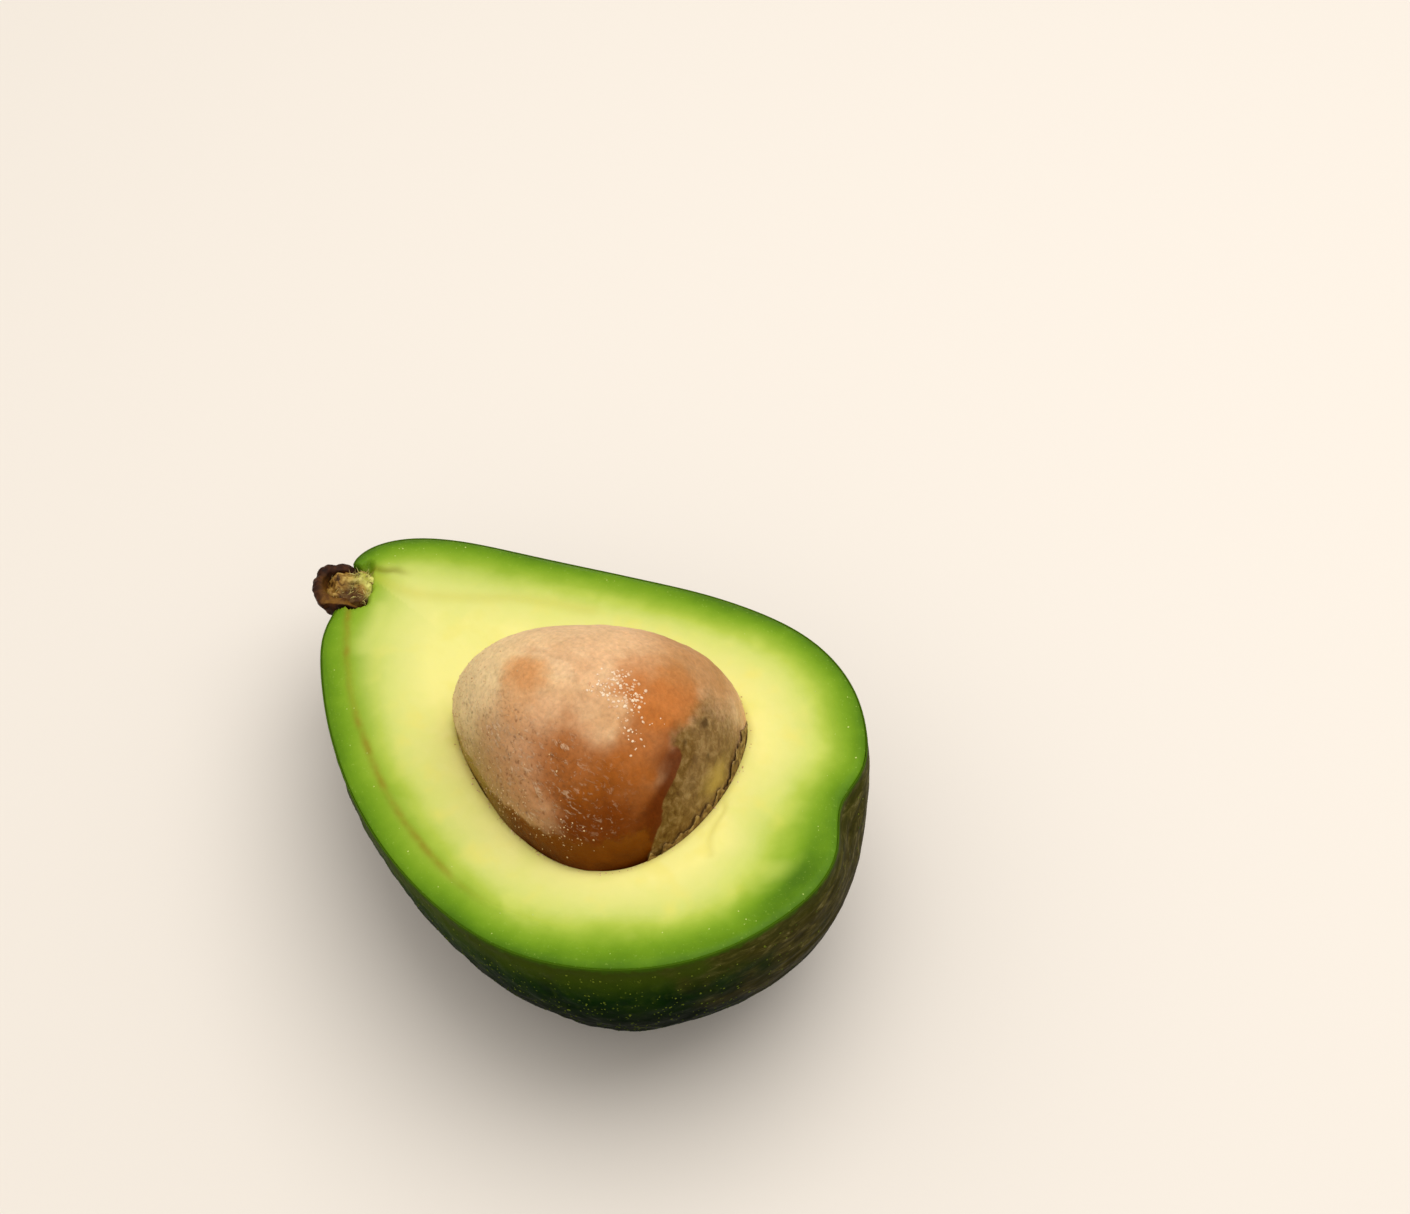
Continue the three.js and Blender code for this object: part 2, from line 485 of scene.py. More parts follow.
def settle_rim(points):
    """Ease the topmost millimetres of the outside down and in, to the rim that the knife left."""
    depth = -points[:, 2]
    eased = points.copy()
    eased[:, 2] -= rim_drop(points) * (1 - smooth_step(0, RIM_SETTLE, depth))
    reach = np.linalg.norm(points[:, :2], axis=1)
    pull = rim_inset(points) * (1 - smooth_step(0, INSET_DEPTH, depth)) / np.maximum(reach, MM)
    eased[:, :2] *= (1 - pull)[:, None]
    return eased


print("the rim sinks", RIM_DROP / MM, "mm and its notch is", round(NOTCH_DEPTH / MM, 1), "mm deep")

# %% Rings down the outside
RING_SPREAD = 1.15
LUMP_HEIGHT = 0.35 * MM
LUMP_SIZE = 13 * MM
LUMPS_BEGIN = 9 * MM
SKIN_AT_CUT = 0.2 * MM
SKIN_GAIN = 0.35 * MM
SKIN_GAIN_DEPTH = 2.5 * MM


def outer_rings(rows, around):
    """The outside in rings from the rim down, and the direction outwards at each point."""
    dips = np.linspace(0, 1, rows) ** RING_SPREAD * DEEPEST
    rings = np.array([settle_rim(fruit_surface(ball_ring(around, dip))) for dip in dips])
    normals = ring_normals(rings)
    normals *= np.sign(np.einsum("ijk,ijk->", normals, rings))
    flat = rings.reshape(-1, 3)
    lumps = LUMP_HEIGHT * soft_noise(flat, LUMP_SIZE, 41) * smooth_step(0, LUMPS_BEGIN, -flat[:, 2])
    return rings + normals * lumps.reshape(rows, around, 1), normals


def skin_thickness(depth):
    """The skin thins towards the cut, where the knife has drawn it out."""
    return SKIN_AT_CUT + SKIN_GAIN * smooth_step(0, SKIN_GAIN_DEPTH, depth)


print("skin", (skin_thickness(np.array([0, 1])) / MM).round(2), "mm thick at the cut and below it")

# %% [markdown]
# ## Distances on the cut face
#
# The colour of the cut face runs from green at the skin to butter yellow at the seed, so each point
# of the flesh has to know how far it is from the rim. The same helper measures how far a point is
# from a vein. A vein is a soft curve through a few chosen points, as a maker would draw it with a
# bent ruler.

# %% Distance to a line of points
def distance_to(points, line, chunk=4000):
    """Distance across the cut face from each point to the nearest point of a line."""
    nearest = []
    for start in range(0, len(points), chunk):
        apart = points[start : start + chunk, None, :2] - line[None, :, :2]
        nearest.append(np.sqrt((apart**2).sum(axis=2)).min(axis=1))
    return np.concatenate(nearest)


def near(points, line, width):
    """1 on a line, fading to nothing about `width` from it."""
    return bell(distance_to(points, line), 0, width)


# %% Veins and a nick
def soft_line(*knots, count=40):
    """A curve that passes smoothly through a few points, given in millimetres."""
    knots = np.array(knots, dtype=float) * MM
    padded = np.concatenate([[2 * knots[0] - knots[1]], knots, [2 * knots[-1] - knots[-2]]])
    share = np.linspace(0, 1, count, endpoint=False)[:, None]
    line = []
    for a, b, c, d in zip(padded, padded[1:], padded[2:], padded[3:]):
        bend = (2 * a - 5 * b + 4 * c - d) * share**2 + (3 * b - a - 3 * c + d) * share**3
        line.append(0.5 * (2 * b + (c - a) * share + bend))
    return np.concatenate(line + [knots[-1:]])


LEAN_VEIN = soft_line((-44, -6.5), (-38, -11.5), (-33, -15), (-27, -18.7), (-18, -22.9), (-8, -26.8),
                      (5, -29.6), (18, -30.2), (30, -26.4))
FULL_VEIN = soft_line((-46, 0.5), (-38, 2.5), (-30, 8.2), (-24, 13), (-14, 18.5))
NECK_VEIN = soft_line((-49.5, -1.0), (-48.2, 1.2), (-46.0, 2.4), (-44.6, 3.6), (-42.6, 4.3), (-40.9, 5.4))
NICK = soft_line((30.6, 5.8), (31.8, 4.6), (32.4, 3.0), (33.1, 1.3), (34.4, -0.6), (36.6, -2.2))
print("veins and nick of", [len(line) for line in (LEAN_VEIN, FULL_VEIN, NECK_VEIN, NICK)], "points")

# %% [markdown]
# ## The hollow
#
# The seed fills its hollow almost exactly. Only on the side of the broad end has it come loose, which
# leaves a narrow dark crack. The gap is therefore a small number all round that grows there.

# %% How loosely the seed sits
TIGHT_GAP = 0.03 * MM
CRACK_GAP = 0.55 * MM
CRACK_OPENS, CRACK_CLOSES = (-66, -30), (22, 50)


def seed_turn(unit):
    """Angle round the seed, in degrees, with 0 at its broad end."""
    return turn_of(unit)


def hollow_gap(unit):
    crack = window(seed_turn(unit), CRACK_OPENS, CRACK_CLOSES)
    return TIGHT_GAP + CRACK_GAP * crack * (0.75 + 0.25 * soft_noise(unit, 0.3, 83))


print("the crack opens to", round((TIGHT_GAP + CRACK_GAP) / MM, 2), "mm")

# %% [markdown]
# ## The flesh
#
# One closed stack of rings makes the flesh: it starts at the bottom of the hollow, climbs its wall,
# crosses the cut face to the rim and goes down again just inside the skin. The face is cut flesh, so
# it isn't flat: it has broad waves, the knife's faint strokes, raised veins and a little curved nick.
# The lip of the hollow is rounded, most of all where the seed has been rocked.

# %% Veins, strokes and the lip of the hollow
STROKE_TURN = math.radians(24)
STROKE_LENGTHS = 9
LIP_WORN_TURN = -98
RIDGES = [(LEAN_VEIN, 0.14, 0.45), (FULL_VEIN, 0.08, 0.6), (NICK, -0.12, 0.45)]


def lip_share(points):
    """How strongly the hollow's lip is rounded: most on the -Y side, towards the stem."""
    turn = turn_of(points - SEED_CENTRE)
    return 0.22 + 0.78 * smooth_step(0.2, 0.95, np.cos(np.radians(turn - LIP_WORN_TURN)))


def knife_strokes(points):
    """Long faint ridges across the face, side by side."""
    cos, sin = math.cos(STROKE_TURN), math.sin(STROKE_TURN)
    along = points[:, 0] * cos + points[:, 1] * sin
    across = points[:, 1] * cos - points[:, 0] * sin
    return soft_noise(np.stack([along / STROKE_LENGTHS, across, 0 * along], axis=1), 1.6 * MM, 17)


def neck_vein(points, width):
    """1 on the short vein beside the stem, which fades out a few millimetres into the face."""
    return near(points, NECK_VEIN, width) * (1 - smooth_step(-45.5 * MM, -41.0 * MM, points[:, 0]))


print("lines cut into or raised on the face:", len(RIDGES) + 1)

# %% Relief of the cut face
EDGE_ROUNDING = 1.5 * MM
LIP_WIDTH = 2.6 * MM
LIP_DROP = 0.5 * MM
WAVE_HEIGHT, STROKE_HEIGHT, NECK_VEIN_DEPTH = 0.17, 0.03, 0.2


def face_relief(points, from_rim, from_hollow):
    """Height of the cut face above its plane."""
    rounded = np.clip(1 - from_rim / EDGE_ROUNDING, 0, 1) ** 2
    lip = np.clip(1 - from_hollow / LIP_WIDTH, 0, 1) ** 2.2
    open_face = smooth_step(0, 2.5 * MM, from_rim) * smooth_step(0, 1.5 * MM, from_hollow)
    height = WAVE_HEIGHT * layered_noise(points, 12 * MM, 11) + STROKE_HEIGHT * knife_strokes(points)
    height += sum(ridge * near(points, line, width * MM) for line, ridge, width in RIDGES)
    height -= NECK_VEIN_DEPTH * neck_vein(points, 0.5 * MM)
    return height * MM * open_face - rim_drop(points) * rounded - LIP_DROP * lip_share(points) * lip


print("the lip drops by up to", LIP_DROP / MM, "mm over", LIP_WIDTH / MM, "mm")

# %% [markdown]
# The stem's root sits in a small ragged pocket in the neck, open on the cut face. It is described in
# the stem's own directions: along its axis, sideways in the face, and up. The pocket is a depth that
# is taken off the face, so no cutting of one mesh by another is needed.

# %% The stem's pocket
STEM_SIDE = np.array([-STEM_AXIS[1], STEM_AXIS[0], 0.0])
POCKET_RADIUS = STEM_RADIUS + 0.2 * MM
POCKET_SLOPE = (-STEM_ROOT - 1.0 * MM, -STEM_ROOT + 2.4 * MM)
POCKET_RAGGED = 0.5 * MM


def stem_directions(points):
    """How far points lie along the stem, and to its side, from the stem's base."""
    away = points - STEM_BASE
    return away @ STEM_AXIS, away @ STEM_SIDE


def pocket_depth(points):
    along, side = stem_directions(points)
    ragged = POCKET_RAGGED * layered_noise(points * [1, 1, 0], 1.8 * MM, 23)
    inside = smooth_step(*POCKET_SLOPE, along + ragged)
    round_bottom = np.sqrt(np.clip(1 - ((side + ragged) / POCKET_RADIUS) ** 2, 0, 1))
    return inside * round_bottom * STEM_RADIUS


print("the pocket starts", round(-POCKET_SLOPE[0] / MM, 1), "mm inside the stem's base")

# %% [markdown]
# The rings of the flesh come in three stacks that share their points: the hollow's wall, the face
# and the back. On the face the rings blend from the shape of the hollow's lip to the shape of the
# rim, and they lie closer together near both, where the relief is finest.

# %% Rings of the flesh
FLESH_AROUND = 380
HOLLOW_ROWS, FACE_ROWS, BODY_ROWS = 30, 100, 56
FACE_CROWDING = 0.06
WALL_BEND = 6
UNDER_SKIN = 0.04 * MM


def hollow_wall():
    units = [ball_ring(FLESH_AROUND, dip) for dip in np.linspace(DEEPEST, 0, HOLLOW_ROWS)]
    return np.array([seed_surface(unit, hollow_gap(unit)) for unit in units])


def back_under_skin():
    outside, normals = outer_rings(BODY_ROWS, FLESH_AROUND)
    return outside - normals * (skin_thickness(-outside[:, :, 2:]) + UNDER_SKIN)


def face_between(lip, rim):
    shares = np.linspace(0, 1, FACE_ROWS + 2)
    shares = shares - FACE_CROWDING * np.sin(2 * math.pi * shares)
    face = np.array([lip + (rim - lip) * share for share in shares])
    flat = face.reshape(-1, 3)
    flat[:, 2] = face_relief(flat, distance_to(flat, rim), distance_to(flat, lip)) - pocket_depth(flat)
    return flat.reshape(face.shape)


def flesh_rings():
    """Three stacks of level rings: the hollow's wall, the cut face and the back under the skin."""
    hollow, back = hollow_wall(), back_under_skin()
    face = face_between(hollow[-1] * [1, 1, 0], back[0] * [1, 1, 0])
    hollow, back = hollow[:-1], back[1:]
    climb = np.linspace(0, 1, len(hollow))[:, None] ** WALL_BEND
    hollow[:, :, 2] += face[0, :, 2] * climb
    back[:, :, 2] = np.minimum(back[:, :, 2], face[-1, :, 2] - UNDER_SKIN)
    return hollow, face, back


flesh_stacks = flesh_rings()
print("rings in the hollow, on the face and on the back:", [len(stack) for stack in flesh_stacks])

# %% Build the flesh
ABOVE_FLOOR = 0.6 * MM
flesh_level = np.concatenate(flesh_stacks)
flesh_shaped = placed(flesh_level)
flesh_shaped[:, :, 2] = np.maximum(flesh_shaped[:, :, 2], ABOVE_FLOOR)
flesh = mesh_from_rings("flesh", flesh_shaped)

# %% [markdown]
# The flesh needs many marks, because its colour depends on the place. Most important is the distance from
# the rim. The green band is broader on the leaning side beyond the vein, and round the broad end, and the
# neck is paler. Other marks say where juice beads, where the lip crumbles and where the pocket is, whose
# darkening is brown tissue and painted shade together.

# %% Marks on the flesh
BROAD_SHARES = 0.45, 0.65


def broad_share(level):
    """How much broader the green band is round the broad end."""
    turn = turn_of(level)
    return BROAD_SHARES[0] * window(turn, (-62, -25), (8, 26)) + BROAD_SHARES[1] * bell(turn, 5, 11)


def mark_flesh():
    level = flesh_level.reshape(-1, 3)
    counts = [len(stack) * FLESH_AROUND for stack in flesh_stacks]
    on_hollow, on_face, on_back = (np.repeat(np.arange(3) == n, counts) for n in range(3))
    rim, lip = flesh_stacks[1][-1], flesh_stacks[1][0]
    from_rim, from_seed = distance_to(level, rim) * ~on_back, distance_to(level, lip) * on_face
    beyond = level[:, 1] < np.interp(level[:, 0], LEAN_VEIN[:, 0], LEAN_VEIN[:, 1])
    lean_side = on_face * (level[:, 1] < 0) * (1 - smooth_step(2 * MM, 22 * MM, level[:, 0]))
    low_side = 0.3 + 0.7 * smooth_step(-2.2 * MM, 0.8 * MM, stem_directions(level)[1])
    juicy = window(from_rim, (0.3 * MM, MM), (2 * MM, 8 * MM))
    crumbly = lip_share(level) * (1 - smooth_step(0.2 * MM, 1.3 * MM, from_seed))
    mark(flesh, from_rim=from_rim / MM, from_seed=from_seed / MM, in_hollow=on_hollow,
         outer_band=beyond * lean_side, inner_band=~beyond * lean_side,
         lean_vein=near(level, LEAN_VEIN, 0.6 * MM) * lean_side,
         full_vein=near(level, FULL_VEIN, 1.2 * MM) * on_face,
         neck_vein=neck_vein(level, 0.7 * MM) * on_face,
         nick=near(level, NICK, 0.6 * MM) * on_face,
         broad=broad_share(level) * on_face,
         neck=smooth_step(-8 * MM, -38 * MM, level[:, 0]) * on_face,
         # the pocket's dark colour: brown tissue and painted shade, deeper in the pocket and on its low side
         pocket=smooth_step(0.3 * MM, 1.4 * MM, pocket_depth(level)) * low_side * on_face,
         juicy=juicy * on_face, crumbly=crumbly * on_face)


mark_flesh()

# %% [markdown]
# ## The skin
#
# The skin is a thin leathery shell round the back. Its outside takes pebbles and, at the broad end,
# fine creases that run alongside the rim. Its inside stays smooth against the flesh. The two sides
# meet in a narrow edge that shows as a fine line round the face. Where the fruit rests it is flat,
# and round the stem it gives way to the pocket. Pushing points out by noise gives real relief, which
# also shows in the outline, as a bump in the material alone never does.

# %% Relief of the skin
PEBBLE_HEIGHT, PEBBLE_SIZE = 0.17 * MM, 2.4 * MM
CREASE_HEIGHT, CREASE_SIZE = 0.16 * MM, 1.5 * MM
CREASE_STRETCH = 4 * MM
CREASED_TURNS = (-30, 0), (28, 66)
RAGGED_TURN = 14


def skin_relief(level, depth):
    """Pebbles all over, and creases alongside the rim at the broad end."""
    pebbles = np.clip(layered_noise(level, PEBBLE_SIZE, 31, layers=2), -1, 1)
    degrees = turn_of(level)
    stretched = np.stack([np.radians(degrees) * CREASE_STRETCH, depth, 0 * depth], axis=1)
    creases = layered_noise(stretched, CREASE_SIZE, 37, layers=2)
    ragged = RAGGED_TURN * layered_noise(level, 9 * MM, 43)
    creased = window(degrees + ragged, *CREASED_TURNS)
    away = smooth_step(0.1 * MM, 2 * MM, depth)
    height = PEBBLE_HEIGHT * pebbles * (1 - 0.6 * creased) + CREASE_HEIGHT * creased * creases
    return away * height, creased


print("pebbles", PEBBLE_SIZE / MM, "mm across, creases", CREASE_SIZE / MM, "mm apart")

# %% Rings of the skin
SKIN_AROUND = 470
SKIN_ROWS, INSIDE_ROWS = 140, 26
EDGE_RISE = 0.05 * MM
INSIDE_ABOVE_FLOOR = 0.55 * MM

skin_smooth, skin_normals = outer_rings(SKIN_ROWS, SKIN_AROUND)
skin_depth = skin_smooth[0, :, 2] - skin_smooth[:, :, 2]
skin_bumps, skin_creased = skin_relief(skin_smooth.reshape(-1, 3), skin_depth.ravel())


def skin_rings():
    """Level rings from the bottom up the outside, over the edge and down the inside."""
    outside = skin_smooth + skin_normals * skin_bumps.reshape(*skin_depth.shape, 1)
    rows = np.linspace(0, SKIN_ROWS - 1, INSIDE_ROWS).round().astype(int)
    inside = skin_smooth[rows] - skin_normals[rows] * skin_thickness(skin_depth[rows])[:, :, None]
    edge = (outside[:1] + inside[:1]) / 2 + [0, 0, EDGE_RISE]
    rings = np.concatenate([outside[::-1], edge, inside])
    rings[:, :, 2] = np.minimum(rings[:, :, 2], EDGE_RISE - pocket_depth(skin_smooth[0]))
    return rings


skin_level = skin_rings()
print("rings of the skin:", len(skin_level))

# %% Build the skin
def build_skin():
    shaped = placed(skin_level)
    lowest = np.repeat([0, INSIDE_ABOVE_FLOOR], [SKIN_ROWS + 1, INSIDE_ROWS])
    shaped[:, :, 2] = np.maximum(shaped[:, :, 2], lowest[:, None])
    piece = mesh_from_rings("skin", shaped)
    hidden = np.zeros((1 + INSIDE_ROWS) * SKIN_AROUND)
    outer = np.append(np.ones(SKIN_ROWS * SKIN_AROUND), hidden)
    below = np.append(skin_depth[::-1].ravel(), hidden)
    creases = np.append(skin_creased.reshape(skin_depth.shape)[::-1].ravel(), hidden)
    turn = np.radians(turn_of(skin_level.reshape(-1, 3)))
    above_floor = smooth_step(0.3 * MM, 1.2 * MM, shaped[:, :, 2].ravel())
    specked = outer * smooth_step(1.0 * MM, 3 * MM, below) * (1 - 0.75 * creases) * above_floor
    mark(piece, depth=below / MM, around=turn * FRUIT_LENGTH / 2 / MM, outer=outer, creased=creases,
         specked=specked)
    return piece


skin = build_skin()

# %% [markdown]
# ## The seed
#
# The seed is an egg under a thin papery coat. The coat is pinkish tan and grainy. It has come off
# low on the front, where the bare seed is smooth and deep amber, and a grey-brown film lies over the
# loose side. To say where each patch lies, the seed has its own map: an angle round it, with 0 at the
# broad end, and a height angle from the cut plane up to 90 at the top. Noise makes the edges ragged.

# %% A map of the seed
MAP_WANDER, MAP_RAGGED = 3.5, 1.6
PATCH_BEND, PATCH_FRAY = 0.25, 1.5


def seed_map(unit):
    """Angle round the seed and height angle, in degrees, both wandering a little."""
    wander = MAP_WANDER * layered_noise(unit, 0.35, 51)
    ragged = MAP_RAGGED * layered_noise(unit, 0.08, 57, layers=4)
    high = np.degrees(np.arcsin(np.clip(unit[:, 2], -1, 1)))
    return seed_turn(unit) + wander + ragged, high + 0.6 * wander + ragged


def patches_on(unit):
    """A function that marks round patches of the seed: 1 inside, 0 outside, soft or sharp at the edge."""
    bend = 1 + PATCH_BEND * layered_noise(unit, 0.22, 91)
    fray = PATCH_FRAY * layered_noise(unit, 0.07, 96)

    def patch(turn, high, reach, softness=0.35):
        a, b = math.radians(turn), math.radians(high)
        centre = np.array([math.cos(a) * math.cos(b), math.sin(a) * math.cos(b), math.sin(b)])
        apart = np.degrees(np.arccos(np.clip(unit @ centre, -1, 1))) * bend + fray
        return 1 - smooth_step(reach * (1 - softness), reach * (1 + softness), apart)

    return patch


print("one degree on the seed is about", round(math.radians(1) * SEED_HALF[0] / MM, 2), "mm")

# %% [markdown]
# The bare stretch reaches up to about 14 degrees at the front and lower towards the stem, and its edge
# is a soft step that the material sharpens later. The film begins low down at the front, and further
# round the higher it gets. It is crisp where it begins and fades above and towards its far side.

# %% Where the seed is bare, and where the film lies
SEED_AROUND, SEED_ROWS = 400, 240

seed_dips = np.linspace(-DEEPEST, DEEPEST, SEED_ROWS)
seed_unit = np.concatenate([ball_ring(SEED_AROUND, dip) for dip in seed_dips])
turns, highs = seed_map(seed_unit)
patch = patches_on(seed_unit)

BARE_FROM, BARE_TO = (-178, -150), (-34, -27)
bare_top = 14 - 5 * smooth_step(-80, -130, turns)
bare = smooth_step(-4, 4, bare_top - highs) * window(turns, BARE_FROM, BARE_TO)

film_begins = -31 + 6 * smooth_step(3, 18, highs) + 17 * smooth_step(18, 32, highs)
past_film = turns - film_begins
grey = smooth_step(-1, 1, past_film) * (1 - smooth_step(2, 46, turns)) * smooth_step(-8, 6, 38 - highs)
print("bare share", bare.mean().round(3), "and film share", grey.mean().round(3))

# %% [markdown]
# Colours are laid on like thin paint, one patch after another, and stored on the seed's points. A
# picture painted by hand would need a flat map of the seed with seams; colours on points need none.
# Fine grain comes later, in the material.

# %% Paint the seed
COAT = (218, 172, 126)
mottle = smooth_step(-0.25, 0.55, layered_noise(seed_unit, 0.16, 101))
streaks = smooth_step(-0.1, 0.6, layered_noise(seed_unit * [1, 1, 2.5], 0.1, 107))
# painted shade: a dark strip along the film's near edge, where its overhanging fold shades the seed
film_edge_shade = window(past_film, (-17, -5), (5, 14)) * (1 - smooth_step(32, 47, highs))
COATS = [
    (mottle * 0.45, (222, 188, 144)),
    (streaks * 0.35, (192, 144, 98)),
    (patch(-165, 22, 50, 0.5) * 0.85, (232, 202, 148)),
    (patch(-108, 14, 25, 0.5) * 0.75, (164, 124, 68)),
    (patch(-88, 38, 26, 0.55) * 0.6, (190, 130, 86)),
    (patch(-62, 42, 19, 0.55) * 0.8, (166, 100, 48)),
    (patch(-46, 24, 26, 0.45) * 0.92, (144, 74, 2)),
    (patch(-52, 6, 24, 0.5) * 0.9, (112, 50, 0)),
    (patch(-136, 70, 9, 0.6) * 0.8, (206, 138, 78)),
    (patch(-114, 61, 9, 0.7) * 0.55, (206, 144, 88)),
    (patch(-18, 46, 13, 0.3) * 0.9, (164, 92, 32)),
    (patch(16, 53, 18, 0.2) * 0.95, (184, 108, 46)),
    (patch(-30, 60, 9, 0.5) * 0.5, (196, 146, 96)),
    # painted shade along the film's edge
    (film_edge_shade * 0.96, (96, 40, 0)),
    (patch(50, 36, 26, 0.5) * 0.85, (176, 124, 72)),
    (patch(75, 66, 20, 0.6) * 0.6, (222, 178, 132)),
    (patch(118, 52, 26, 0.5) * 0.6, (214, 176, 130)),
]


def seed_paint():
    """The coat's colour at each point, before the bare stretch and the grey film are laid over it."""
    paint = np.tile(np.array(to_linear(*COAT))[:3], (len(seed_unit), 1))
    for share, colour in COATS:
        paint += share[:, None] * (np.array(to_linear(*colour))[:3] - paint)
    return paint


def store_paint(piece, colours):
    layer = piece.data.attributes.new("paint", "FLOAT_COLOR", "POINT")
    layer.data.foreach_set("color", with_ends(np.insert(colours, 3, 1, axis=1)).ravel())


print("thin coats of paint:", len(COATS))

# %% [markdown]
# The coat has a thickness, so its edge along the bare stretch is a small step. Under it the seed is
# lumpy, and on it there is grain, coarser where the coat is rough or the film lies over it.

# %% Build the seed
COAT_STEP = 0.14 * MM
LUMPS = [(0.24, 9, 61, 2), (0.07, 3, 63, 3)]
GRAIN_HEIGHT, ROUGH_GRAIN, FILM_GRAIN = 0.03, 0.05, 0.06
FURROW_DEPTH, FURROW_SHARE = 0.05 * MM, 0.05


def seed_relief(rough):
    """Height of the coat, lumps and grain, in metres."""
    level = seed_surface(seed_unit)
    coat = 1 - bare
    lumps = sum(tall * layered_noise(level, size * MM, first, layers) for tall, size, first, layers in LUMPS)
    grain = layered_noise(level, 1.1 * MM, 67, layers=2)
    grain *= (GRAIN_HEIGHT + ROUGH_GRAIN * rough + FILM_GRAIN * grey) * coat
    furrows = np.abs(layered_noise(seed_unit, 0.2, 73)) < FURROW_SHARE
    return COAT_STEP * coat + MM * (lumps + grain) - FURROW_DEPTH * grey * furrows


def build_seed():
    rings = seed_surface(seed_unit).reshape(SEED_ROWS, SEED_AROUND, 3)
    normals = ring_normals(rings)
    normals *= np.sign(np.einsum("ijk,ijk->", normals, rings - SEED_CENTRE))
    rough = np.clip(patch(-104, 26, 32, 0.5) + 0.4 * patch(-62, 34, 18, 0.6), 0, 1)
    relief = seed_relief(rough).reshape(SEED_ROWS, SEED_AROUND, 1)
    piece = mesh_from_rings("seed", placed(rings + normals * relief))
    store_paint(piece, seed_paint())
    coat_edge = bell(highs, 15, 5) * window(turns, BARE_FROM, (-66, -46))
    mark(piece, bare=bare, grey=grey, rough=rough, height=seed_unit[:, 2],
         # left: where the bare seed is lightened, partly as painted light against the lip's shade
         left=smooth_step(-92, -125, turns),
         wet=patch(-8, 67, 8, 0.4) + 0.2 * patch(-16, 54, 11, 0.4),
         flaky=coat_edge + 0.35 * patch(-110, 24, 26, 0.6) + 0.5 * patch(-158, 22, 32, 0.6),
         stained=patch(1, 9.5, 5.5, 0.9),
         nicked=patch(12, 31, 1.6, 0.5) + patch(-2, 34, 1.3, 0.6) + patch(3, 22, 1.0, 0.6))
    return piece


seed = build_seed()

# %% [markdown]
# ## The loose film
#
# Along the crack a strip of the seed's outer coat has let go and stands a little off the seed, thin,
# brittle and torn along its upper edge. It is a ribbon: a flat closed loop of points for each step
# round the seed, leaning outwards, with noise for the tear.

# %% Build the loose film
FILM_STEPS = 220
FILM_THICKNESS = 0.09 * MM
FILM_GAP, FILM_LEAN = 0.22 * MM, 0.2 * MM
FILM_FOOT, FILM_LOW = -9.0, -2.0
FILM_FROM, FILM_TO = (-42, -26), (24, 40)
TEAR_HEIGHT, TEAR_RAGGED, TEAR_GAIN = 5.0, 3.0, 5
NOISE_PER_DEGREE = 0.3 * MM


def film_loop(turn, top, sway):
    """One loop of the ribbon: up its outer side and down its inner side."""
    share = np.linspace(0, 1, 9)
    high = np.radians(FILM_FOOT + (top - FILM_FOOT) * share)
    unit = np.stack([math.cos(turn) * np.cos(high), math.sin(turn) * np.cos(high), np.sin(high)], axis=1)
    gap = (FILM_LEAN + sway) * share + FILM_GAP
    thin = FILM_THICKNESS * (1.15 - share)
    outer, inner = seed_surface(unit, gap + thin / 2), seed_surface(unit, gap - thin / 2)
    return np.concatenate([outer, inner[::-1]])


def build_film():
    steps = np.linspace(-44, 42, FILM_STEPS)
    along = np.stack([steps * NOISE_PER_DEGREE, 0 * steps, 0 * steps], axis=1)
    tear = TEAR_HEIGHT + TEAR_RAGGED * layered_noise(along, 0.9 * MM, 121, layers=3)
    tear += TEAR_GAIN * smooth_step(0, 24, steps)
    tops = FILM_LOW + window(steps, FILM_FROM, FILM_TO) * tear
    sway = 0.16 * MM * layered_noise(along, 2.2 * MM, 131)
    rings = np.array([film_loop(*step) for step in zip(np.radians(steps), tops, sway)])
    return mesh_from_rings("seed_film", placed(rings))


seed_film = build_film()

# %% [markdown]
# ## The stem stub
#
# What is left of the stem was cut lengthwise too. Its dark bark makes a small thick cup round the
# outer end, a little higher than the cut, and torn brown wood fills the cup. Both are shaped in the
# stem's own directions as squarish balls, and rough noise breaks up every surface.

# %% Stem helpers
STEM_SQUARE = 2.6
STEM_AROUND = 150
BARK_MIDDLE = 1.9 * MM
BARK_HALF = np.array([4.25, 4.5, 4.5]) * MM
ROUGHEN_FROM = np.array([BARK_MIDDLE, 0, -1.5 * MM])


def squarish(unit):
    """A point of the unit ball moved to a ball with flatter sides."""
    return np.sign(unit) * np.abs(unit) ** (2 / STEM_SQUARE)


def from_stem(points):
    """From the stem's directions (along, side, up) to the fruit's level axes."""
    return STEM_BASE + points[:, :1] * STEM_AXIS + points[:, 1:2] * STEM_SIDE + points[:, 2:] * [0, 0, 1]


def roughened(points, seed, coarse, fine):
    """Push points out from the middle of the stub by coarse and fine noise."""
    away = points - ROUGHEN_FROM
    away /= np.linalg.norm(away, axis=1, keepdims=True)
    push = coarse * layered_noise(points, 1.9 * MM, seed) + fine * layered_noise(points, 0.6 * MM, seed + 7)
    return points + away * push[:, None]


print("bark cup", (2 * BARK_HALF / MM).round(1), "mm along, across and up")

# %% [markdown]
# The cup is one closed stack of rings: up the outside, inwards over the lip, and down the inside to
# the bottom. At its inner end it dips under the wood, and a little spike of bark stands out at one
# corner, where the stem was snapped. The lip's low side was torn, and is paler there.

# %% Build the bark cup
BARK_LIFT, LIP_CROWN, BARK_DIP = 0.9, 0.45, 2.2
CUP_WIDTH, CUP_DEPTH, CUP_SHIFT = 0.7, 0.5, -0.5
SPIKE_AT, SPIKE_WIDTH, SPIKE_LENGTH = (4.6 * MM, 4.0 * MM), 0.75 * MM, 0.7 * MM


